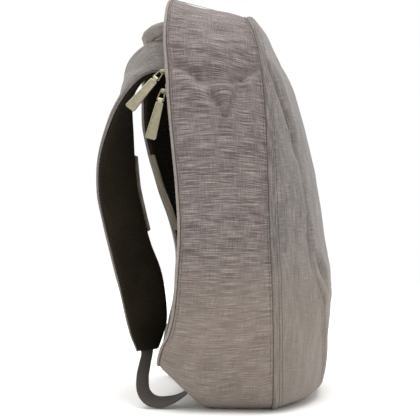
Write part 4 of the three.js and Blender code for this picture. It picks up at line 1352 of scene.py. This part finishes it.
class DAYPACK_OT_straps(bpy.types.Operator):
    """Makes both padded shoulder straps: grey cover, black mesh padding and the light inner strip"""

    bl_idname = "daypack.straps"
    bl_label = "Shoulder straps"

    def execute(self, context):
        sizes = context.scene.daypack_straps
        for name, side in (("left", -1), ("right", 1)):
            back = name + "_back"
            length = band_length(STRAP_ROWS, side, back)

            def surface(section, s, t, grow=0.0):
                row, centre, across, face = band_frame(STRAP_ROWS, side, t, back, name)
                a = section["across"] * row["half"] * sizes.half
                out = section["out"] * row["thick"] * sizes.thickness
                return centre + across * (a + np.sign(a) * grow)[:, None] + face * out[:, None]

            def cover(s, t):
                return surface(along_rows(COVER_SECTION, s), s, t)

            def cover_uv(s, t, points):
                return np.stack([(s - 0.5) * 0.085, t * length], axis=-1)

            def cover_relief(s, t, points):
                dip = -0.0009 * (np.exp(-(((s - 0.16) / 0.02) ** 2)) + np.exp(-(((s - 0.84) / 0.02) ** 2)))
                folds = 0.0009 * np.sin(t * 46 + 3 * np.sin(s * 5)) * np.exp(-(((t - 0.22) / 0.09) ** 2))
                middle = np.sin(math.pi * np.clip(s, 0, 1))
                return dip + (folds + ripples(points, 0.03, 0.0011, 7.0 * side)) * middle

            def cover_seam(s, t, points):
                return np.minimum(s, 1 - s) * 0.085 - 0.0125

            bm = bent_grid(44, 190, cover, cover_uv, cover_relief, merge=1e-5, seam=cover_seam)
            centre = Vector(band_frame(STRAP_ROWS, side, np.array([0.35]), back, name)[1][0])
            face = Vector(band_frame(STRAP_ROWS, side, np.array([0.35]), back, name)[3][0])
            face_out(bm, centre - face * 0.2)
            outer = finish(
                bm,
                f"strap_face_{name}",
                material_for(context, "heather strap"),
                replaces=[f"strap_cover_{name}"],
            )
            thicken(outer, sizes.cover)

            def pad(s, t):
                section = along_rows(PAD_SECTION, s, closed=True)
                end = np.clip(np.minimum(t, 1 - t) / 0.012, 0, 1)
                close = np.sqrt(1 - (1 - end) ** 2)
                return surface({k: v * close for k, v in section.items()}, s, t)

            def pad_uv(s, t, points):
                return np.stack([s * 0.15, t * length], axis=-1)

            def pad_relief(s, t, points):
                swell = ripples(points, 0.05, 0.0005, 4.0 * side)
                return swell * np.clip(np.minimum(t, 1 - t) / 0.03, 0, 1)

            bm = bent_grid(56, 200, pad, pad_uv, pad_relief, merge=1e-5)
            face_out_closed(bm)
            cushion = finish(
                bm,
                f"strap_cushion_{name}",
                material_for(context, "mesh"),
                replaces=[f"strap_pad_{name}"],
            )

            def strip(s, t):
                section = ring_section(sizes.strip, sizes.strip_height, 5, 16)
                thick, tall = section(t)
                share = STRIP_FROM + (STRIP_TO - STRIP_FROM) * s
                row, centre, across, face = band_frame(STRAP_ROWS, side, share, back, name)
                reach = row["half"] * sizes.half + 0.0003 + sizes.strip / 2 + thick
                ends = np.where((s <= 0) | (s >= 1), 0.05, 1.0)
                return centre + across * reach[:, None] + face * (tall * ends - 0.0034)[:, None]

            def strip_uv(s, t, points):
                return np.stack([t * 0.02, s * length * 0.22], axis=-1)

            bm = bent_grid(70, 14, strip, strip_uv, lambda s, t, p: ripples(p, 0.01, 0.0002), merge=1e-5)
            face_out_closed(bm)
            finish(
                bm,
                f"strap_edge_{name}",
                material_for(context, "strip"),
                replaces=[f"strap_strip_{name}"],
            )

            threads = []
            line = np.linspace(0.02, 0.985, 700)
            for share in (0.16, 0.84):
                spot = surface(along_rows(COVER_SECTION, np.full_like(line, share)), line, line)
                normals = unit(spot - band_frame(STRAP_ROWS, side, line, back, name)[1])
                threads += stitches(spot - normals * 0.0008, normals, *STRAP_STITCH)
            sewn = copies(thread_shape(), threads)
            finish(sewn, f"strap_stitching_{name}", material_for(context, "thread"))
        return {"FINISHED"}


class DAYPACK_OT_webbing(bpy.types.Operator):
    """Makes the two webbing loops from the strap tips to the bottom of the bag"""

    bl_idname = "daypack.webbing"
    bl_label = "Webbing"

    def execute(self, context):
        sizes = context.scene.daypack_straps
        section = ring_section(sizes.webbing, sizes.webbing_thickness, 9, 20)
        for name, side in (("left", -1), ("right", 1)):
            length = band_length(WEBBING_ROWS, side, "back")

            def band(s, t, wide=1.0, thick=1.0):
                across_by, out_by = section(s)
                _, centre, across, face = band_frame(WEBBING_ROWS, side, t, "back", "roll")
                end = np.where((t <= 0) | (t >= 1), 0.03, 1.0)
                aside = across * (across_by * wide * end)[:, None]
                return centre + aside + face * (out_by * thick * end)[:, None]

            def band_uv(s, t, points):
                return np.stack([section(s)[0], t * length], axis=-1)

            def ribs(s, t, points):
                across_by = section(s)[0]
                edge = np.exp(-(((np.abs(across_by) - sizes.webbing / 2 + 0.0015) / 0.0012) ** 2))
                return 0.0002 * edge + 0.00012 * np.sin(across_by / 0.002 * 2 * math.pi) * (1 - edge)

            bm = bent_grid(64, 170, band, band_uv, ribs, merge=1e-5)
            face_out_closed(bm)
            finish(
                bm,
                f"webbing_band_{name}",
                material_for(context, "webbing"),
                replaces=[f"webbing_{name}"],
            )
        return {"FINISHED"}


class DAYPACK_OT_handle(bpy.types.Operator):
    """Makes the grey grab handle at the top of the back"""

    bl_idname = "daypack.handle"
    bl_label = "Grab handle"

    def execute(self, context):
        sizes = context.scene.daypack_straps
        body = context.scene.daypack_body
        section = ring_section(sizes.handle_width, sizes.handle_thickness, 2.6, 20)
        upright = np.array([0, math.sin(sizes.handle_tilt), math.cos(sizes.handle_tilt)])

        def centre(at):
            row = along_rows(HANDLE_ROWS, np.clip(at, 0, 1))
            return stack(row["side"] * body.width / 2, row["back"] * body.depth, row["up"] * body.height)

        def place(s, t):
            tangent = unit(centre(t + 0.01) - centre(t - 0.01))
            tall = unit(upright - tangent * (tangent @ upright)[:, None])
            thick = np.cross(tangent, tall)
            high, wide = section(s)
            end = np.where((t <= 0) | (t >= 1), 0.05, 1.0)
            return centre(t) + tall * (high * end)[:, None] + thick * (wide * end)[:, None]

        def measure(s, t, points):
            return np.stack([s * 0.036, t * 0.17], axis=-1)

        def relief(s, t, points):
            folds = 0.0004 * np.sin(t * 70 + 2 * np.sin(s * 12)) * np.exp(-(((t - 0.5) / 0.3) ** 2))
            return folds + ripples(points, 0.012, 0.0006)

        bm = bent_grid(40, 130, place, measure, relief, merge=1e-5)
        face_out_closed(bm)
        # Painted highlight: the handle takes the lighter trim cloth, whose lighter colour stands in for the
        # bright light on it.
        material = material_for(context, "trim")
        finish(bm, "handle_loop", material, replaces=["carry_handle"])
        return {"FINISHED"}


# ---- Operators: metal


def zip_frame(body, up):
    """Place and axes on the zip at a height on the wearer's left: along, inwards and out."""
    turns = np.linspace(math.pi, 2 * math.pi, 20001)
    heights = body.rim_point(turns, body.zip_inset, 0.0)[:, 2]
    angle = float(np.interp(up * body.sizes.height, heights, turns))
    place, low, high = (
        Vector(body.rim_point(np.array(angle + step), body.zip_inset, 0.0)) for step in (0, -0.02, 0.02)
    )
    along = (high - low).normalized()
    out = (Vector((0, 1, 0)) - along * along.y).normalized()
    return place, along, out.cross(along).normalized(), out


def axes_matrix(origin, x, y, z):
    matrix = Matrix.Identity(4)
    for k in range(3):
        matrix[k][0], matrix[k][1], matrix[k][2], matrix[k][3] = x[k], y[k], z[k], origin[k]
    return matrix


def round_edges(bm, edges, width, segments):
    """Rounds edges of a bmesh."""
    settings = {"profile": 0.5, "affect": "EDGES", "material": -1, "clamp_overlap": True}
    bmesh.ops.bevel(bm, geom=edges, offset=width, segments=segments, **settings)


def bevelled_block(bm, low, high, width, segments=3):
    """A block between two corners with rounded edges."""
    size = Vector(high) - Vector(low)
    middle = (Vector(high) + Vector(low)) / 2
    matrix = Matrix.Translation(middle) @ Matrix.Diagonal((*size, 1))
    made = bmesh.ops.create_cube(bm, size=1, matrix=matrix)
    edges = list({e for v in made["verts"] for e in v.link_edges})
    round_edges(bm, edges, width, segments)


class DAYPACK_OT_metal(bpy.types.Operator):
    """Makes the sliders, rings and flat pulls of the zip"""

    bl_idname = "daypack.metal"
    bl_label = "Sliders and pulls"

    def execute(self, context):
        sizes = context.scene.daypack_metal
        body = Body(context.scene.daypack_body)
        coil_top = TAPE_TOP + COIL_LIFT + body.sizes.coil_height
        plate_top = coil_top + sizes.slider_gap + sizes.plate
        eye = sizes.bar / 2 + sizes.play
        bar_height = plate_top + sizes.play + eye + sizes.wire
        for item in HARDWARE:
            name = item["name"]
            place, along, inwards, out = zip_frame(body, item["up"])
            frame_here = axes_matrix(place, along, inwards, out)
            self.slider(context, sizes, body, name, frame_here, coil_top, plate_top, bar_height)
            hang = math.radians(item["hang"])
            down = Vector((-math.cos(hang), 0, math.sin(hang)))
            away = Vector((0, -1, 0))
            across = down.cross(away)
            hanging = frame_here @ axes_matrix((0, 0, bar_height), across, down, away)
            self.ring(context, sizes, name, hanging, eye)
            self.pull(context, sizes, name, hanging @ Matrix.Translation((0, sizes.ring_length, 0)))
        return {"FINISHED"}

    def slider(self, context, sizes, body, name, matrix, coil_top, plate_top, bar_height):
        bm = bmesh.new()
        length, half = sizes.slider_length / 2, sizes.slider_width / 2
        channel = body.sizes.coil_width / 2 + sizes.slider_gap
        low, flange = coil_top + sizes.slider_gap, TAPE_TOP + sizes.slider_gap
        cheek_low = sizes.wire / 2 + sizes.play
        cheek_high = cheek_low + 0.0016
        bevelled_block(bm, (-length, -half, low), (length, half, plate_top), 0.0007)
        bevelled_block(bm, (-length, channel, flange), (length, half, plate_top - 0.0003), 0.0005)
        bevelled_block(bm, (-length, -half, flange), (length, -channel, plate_top - 0.0003), 0.0005)
        for sign in (-1, 1):
            y = sorted((sign * cheek_low, sign * cheek_high))
            first = (-sizes.bar, y[0], plate_top - 0.0005)
            second = (sizes.bar, y[1], bar_height + sizes.bar)
            bevelled_block(bm, first, second, 0.0006, 4)
        turned = Matrix.Translation((0, 0, bar_height)) @ Matrix.Rotation(math.pi / 2, 4, "X")
        bmesh.ops.create_cone(
            bm,
            cap_ends=True,
            segments=24,
            radius1=sizes.bar / 2,
            radius2=sizes.bar / 2,
            depth=2 * cheek_high - 0.0006,
            matrix=turned,
        )
        bm.transform(matrix)
        bmesh.ops.recalc_face_normals(bm, faces=bm.faces)
        material = material_for(context, "metal")
        finish(bm, f"slider_body_{name}", material, replaces=[f"slider_{name}"])

    def ring(self, context, sizes, name, matrix, eye):
        """A tapered loop of round wire from the slider's bar to the pull's barrel."""
        wire = sizes.wire / 2
        arc = eye + wire
        bend = [(-arc * math.cos(a), -arc * math.sin(a)) for a in np.linspace(0, math.pi, 9)]
        reach = sizes.ring_half - wire
        corner = [(reach, sizes.ring_length - wire * 0.9), (reach * 0.86, sizes.ring_length)]
        path = bend + corner + [(0.0, sizes.ring_length)] + [(-x, y) for x, y in reversed(corner)]
        rows = table("x y", *path)

        def place(s, t):
            row = along_rows(rows, s, closed=True)
            ahead, behind = (along_rows(rows, s + d, closed=True) for d in (0.002, -0.002))
            tangent = unit(stack(ahead["x"] - behind["x"], ahead["y"] - behind["y"], 0 * s))
            normal = np.cross(tangent, np.array([0.0, 0.0, 1.0]))
            turn = t * 2 * math.pi
            spot = stack(row["x"], row["y"], 0 * s)
            spot = spot + normal * (wire * np.cos(turn))[:, None]
            spot[:, 2] += wire * np.sin(turn)
            return spot

        def measure(s, t, points):
            return np.stack([t * 0.005, s * 0.03], axis=-1)

        bm = bent_grid(96, 12, place, measure, merge=1e-6)
        face_out_closed(bm)
        bm.transform(matrix)
        material = material_for(context, "metal")
        finish(bm, f"ring_wire_{name}", material, replaces=[f"ring_{name}"])

    def pull(self, context, sizes, name, matrix):
        """A flat tapered tab with a raised frame and a plain sunk face, on a small barrel."""
        bore = sizes.wire * math.sqrt(0.5) + sizes.play
        barrel = bore + 0.0009
        barrel_half = sizes.ring_half - sizes.wire * 0.9 - sizes.play
        top, end, thick = sizes.tab_top / 2, sizes.tab_end / 2, sizes.tab_thickness / 2
        start, low = barrel - 0.0002, bore + 0.0002 + sizes.tab_length
        bm = bmesh.new()
        corners = [(-top, start + 0.0006), (top, start + 0.0006), (end, low), (-end, low)]
        verts = [bm.verts.new((x, y, -thick)) for x, y in corners]
        base = bm.faces.new(verts)
        bmesh.ops.bevel(
            bm,
            geom=[v for v in verts if v.co.y > low / 2] + list(base.edges),
            offset=0.0022,
            segments=6,
            profile=0.5,
            affect="VERTICES",
            material=-1,
            clamp_overlap=True,
        )
        raised = bmesh.ops.extrude_face_region(bm, geom=list(bm.faces))
        moved = [g for g in raised["geom"] if isinstance(g, bmesh.types.BMVert)]
        bmesh.ops.translate(bm, verts=moved, vec=(0, 0, 2 * thick))
        bmesh.ops.recalc_face_normals(bm, faces=bm.faces)
        rims = [e for e in bm.edges if len(e.link_faces) == 2 and e.calc_face_angle(0) > 1.2]
        rims = [e for e in rims if abs(e.verts[0].co.z - e.verts[1].co.z) < 1e-6]
        round_edges(bm, rims, 0.00045, 3)
        bm.normal_update()
        faces = [f for f in bm.faces if abs(f.normal.z) > 0.99 and f.calc_area() > 1e-4]
        bmesh.ops.inset_region(bm, faces=faces, thickness=0.0011, depth=0)
        bmesh.ops.inset_region(bm, faces=faces, thickness=0.0003, depth=-0.00035)
        wall = bmesh.new()
        section = [(-barrel_half, bore), (barrel_half, bore), (barrel_half, barrel), (-barrel_half, barrel)]
        ring = [wall.verts.new((x, 0, z)) for x, z in section]
        edges = [wall.edges.new((ring[i], ring[(i + 1) % 4])) for i in range(4)]
        full_turn = {"cent": (0, 0, 0), "axis": (1, 0, 0), "angle": 2 * math.pi, "steps": 32}
        bmesh.ops.spin(wall, geom=ring + edges, use_merge=True, **full_turn)
        bmesh.ops.recalc_face_normals(wall, faces=wall.faces)
        mesh = bpy.data.meshes.new("barrel")
        wall.to_mesh(mesh)
        wall.free()
        bm.from_mesh(mesh)
        bpy.data.meshes.remove(mesh)
        first = (-barrel_half, bore + 0.0003, -thick * 0.9)
        second = (barrel_half, start + 0.0014, thick * 0.9)
        bevelled_block(bm, first, second, 0.0003)
        bm.transform(matrix)
        piece = finish(
            bm,
            f"pull_tab_{name}",
            material_for(context, "metal"),
            body=f"{name}_pull",
            replaces=[f"pull_{name}"],
            smooth=True,
        )
        piece.data.set_sharp_from_angle(angle=math.radians(40))


# ---- Operator: stage


class DAYPACK_OT_stage(bpy.types.Operator):
    """Makes the pale floor, the soft studio light and the camera"""

    bl_idname = "daypack.stage"
    bl_label = "Stage"

    def execute(self, context):
        studio = context.scene.daypack_studio
        bm = bmesh.new()
        bmesh.ops.create_grid(bm, x_segments=2, y_segments=2, size=1.2)
        mesh = bpy.data.meshes.new("floor")
        bm.to_mesh(mesh)
        bm.free()
        floor = bpy.data.objects.new("floor", mesh)
        context.scene.collection.objects.link(floor)
        mesh.materials.append(material_for(context, "floor"))

        aim = Vector((0, studio.aim_back, studio.aim_up))
        flat = math.cos(studio.elevation)
        back = Vector(
            (math.sin(studio.azimuth) * flat, -math.cos(studio.azimuth) * flat, math.sin(studio.elevation))
        )
        camera = bpy.data.objects.new("camera", bpy.data.cameras.new("camera"))
        context.scene.collection.objects.link(camera)
        camera.data.lens = studio.lens
        camera.data.sensor_width = 36
        camera.data.clip_start, camera.data.clip_end = 0.05, 50
        camera.location = aim + back * studio.distance
        camera.rotation_mode = "QUATERNION"
        camera.rotation_quaternion = (-back).to_track_quat("-Z", "Y")
        context.scene.camera = camera

        lights = (
            ("top_softbox", (-0.3, 0.0, 2.6), (0, 0.02, 0.2), 2.4, studio.top_power),
            ("side_softbox", (-1.6, 0.35, 0.9), (0, 0.02, 0.22), 1.4, studio.side_power),
            ("front_softbox", (-0.5, -1.6, 0.8), (0, 0, 0.22), 1.3, studio.front_power),
        )
        for name, place, target, size, power in lights:
            light = bpy.data.lights.new(name, "AREA")
            light.shape, light.size, light.energy = "SQUARE", size, power
            self.hang(context, light, place, target)
        world = bpy.data.worlds.new("studio")
        context.scene.world = world
        world.use_nodes = True
        background = world.node_tree.nodes["Background"]
        background.inputs["Color"].default_value = (1, 1, 1, 1)
        background.inputs["Strength"].default_value = 1.0
        context.scene.view_settings.view_transform = "Standard"
        return {"FINISHED"}

    def hang(self, context, light, place, target):
        holder = bpy.data.objects.new(light.name, light)
        context.scene.collection.objects.link(holder)
        holder.location = place
        holder.rotation_mode = "QUATERNION"
        holder.rotation_quaternion = (Vector(target) - Vector(place)).to_track_quat("-Z", "Y")


class DAYPACK_PT_panel(bpy.types.Panel):
    """Sizes, colours and steps of the daypack"""

    bl_idname = "DAYPACK_PT_panel"
    bl_label = "Daypack"
    bl_space_type = "VIEW_3D"
    bl_region_type = "UI"
    bl_category = "Daypack"

    def draw(self, context):
        for operator in OPERATORS:
            self.layout.operator(operator.bl_idname)
        for name in GROUPS:
            box = self.layout.box()
            group = getattr(context.scene, name)
            for key in group.bl_rna.properties.keys():
                if key not in ("rna_type", "name"):
                    box.prop(group, key)


GROUPS = {
    "daypack_body": DaypackBody,
    "daypack_straps": DaypackStraps,
    "daypack_metal": DaypackMetal,
    "daypack_colours": DaypackColours,
    "daypack_studio": DaypackStudio,
}
OPERATORS = (
    DAYPACK_OT_stage,
    DAYPACK_OT_side_wall,
    DAYPACK_OT_front,
    DAYPACK_OT_trims,
    DAYPACK_OT_zip,
    DAYPACK_OT_back_cushion,
    DAYPACK_OT_straps,
    DAYPACK_OT_webbing,
    DAYPACK_OT_handle,
    DAYPACK_OT_metal,
)


def register():
    for name, group in GROUPS.items():
        bpy.utils.register_class(group)
        setattr(bpy.types.Scene, name, PointerProperty(type=group))
    for operator in OPERATORS:
        bpy.utils.register_class(operator)
    bpy.utils.register_class(DAYPACK_PT_panel)


def unregister():
    bpy.utils.unregister_class(DAYPACK_PT_panel)
    for operator in reversed(OPERATORS):
        bpy.utils.unregister_class(operator)
    for name, group in GROUPS.items():
        delattr(bpy.types.Scene, name)
        bpy.utils.unregister_class(group)


def main():
    register()
    for operator in OPERATORS:
        group, step = operator.bl_idname.split(".")
        result = getattr(getattr(bpy.ops, group), step)()
        if result != {"FINISHED"}:
            raise RuntimeError(f"{operator.bl_idname} didn't finish")


if __name__ == "__main__":
    main()
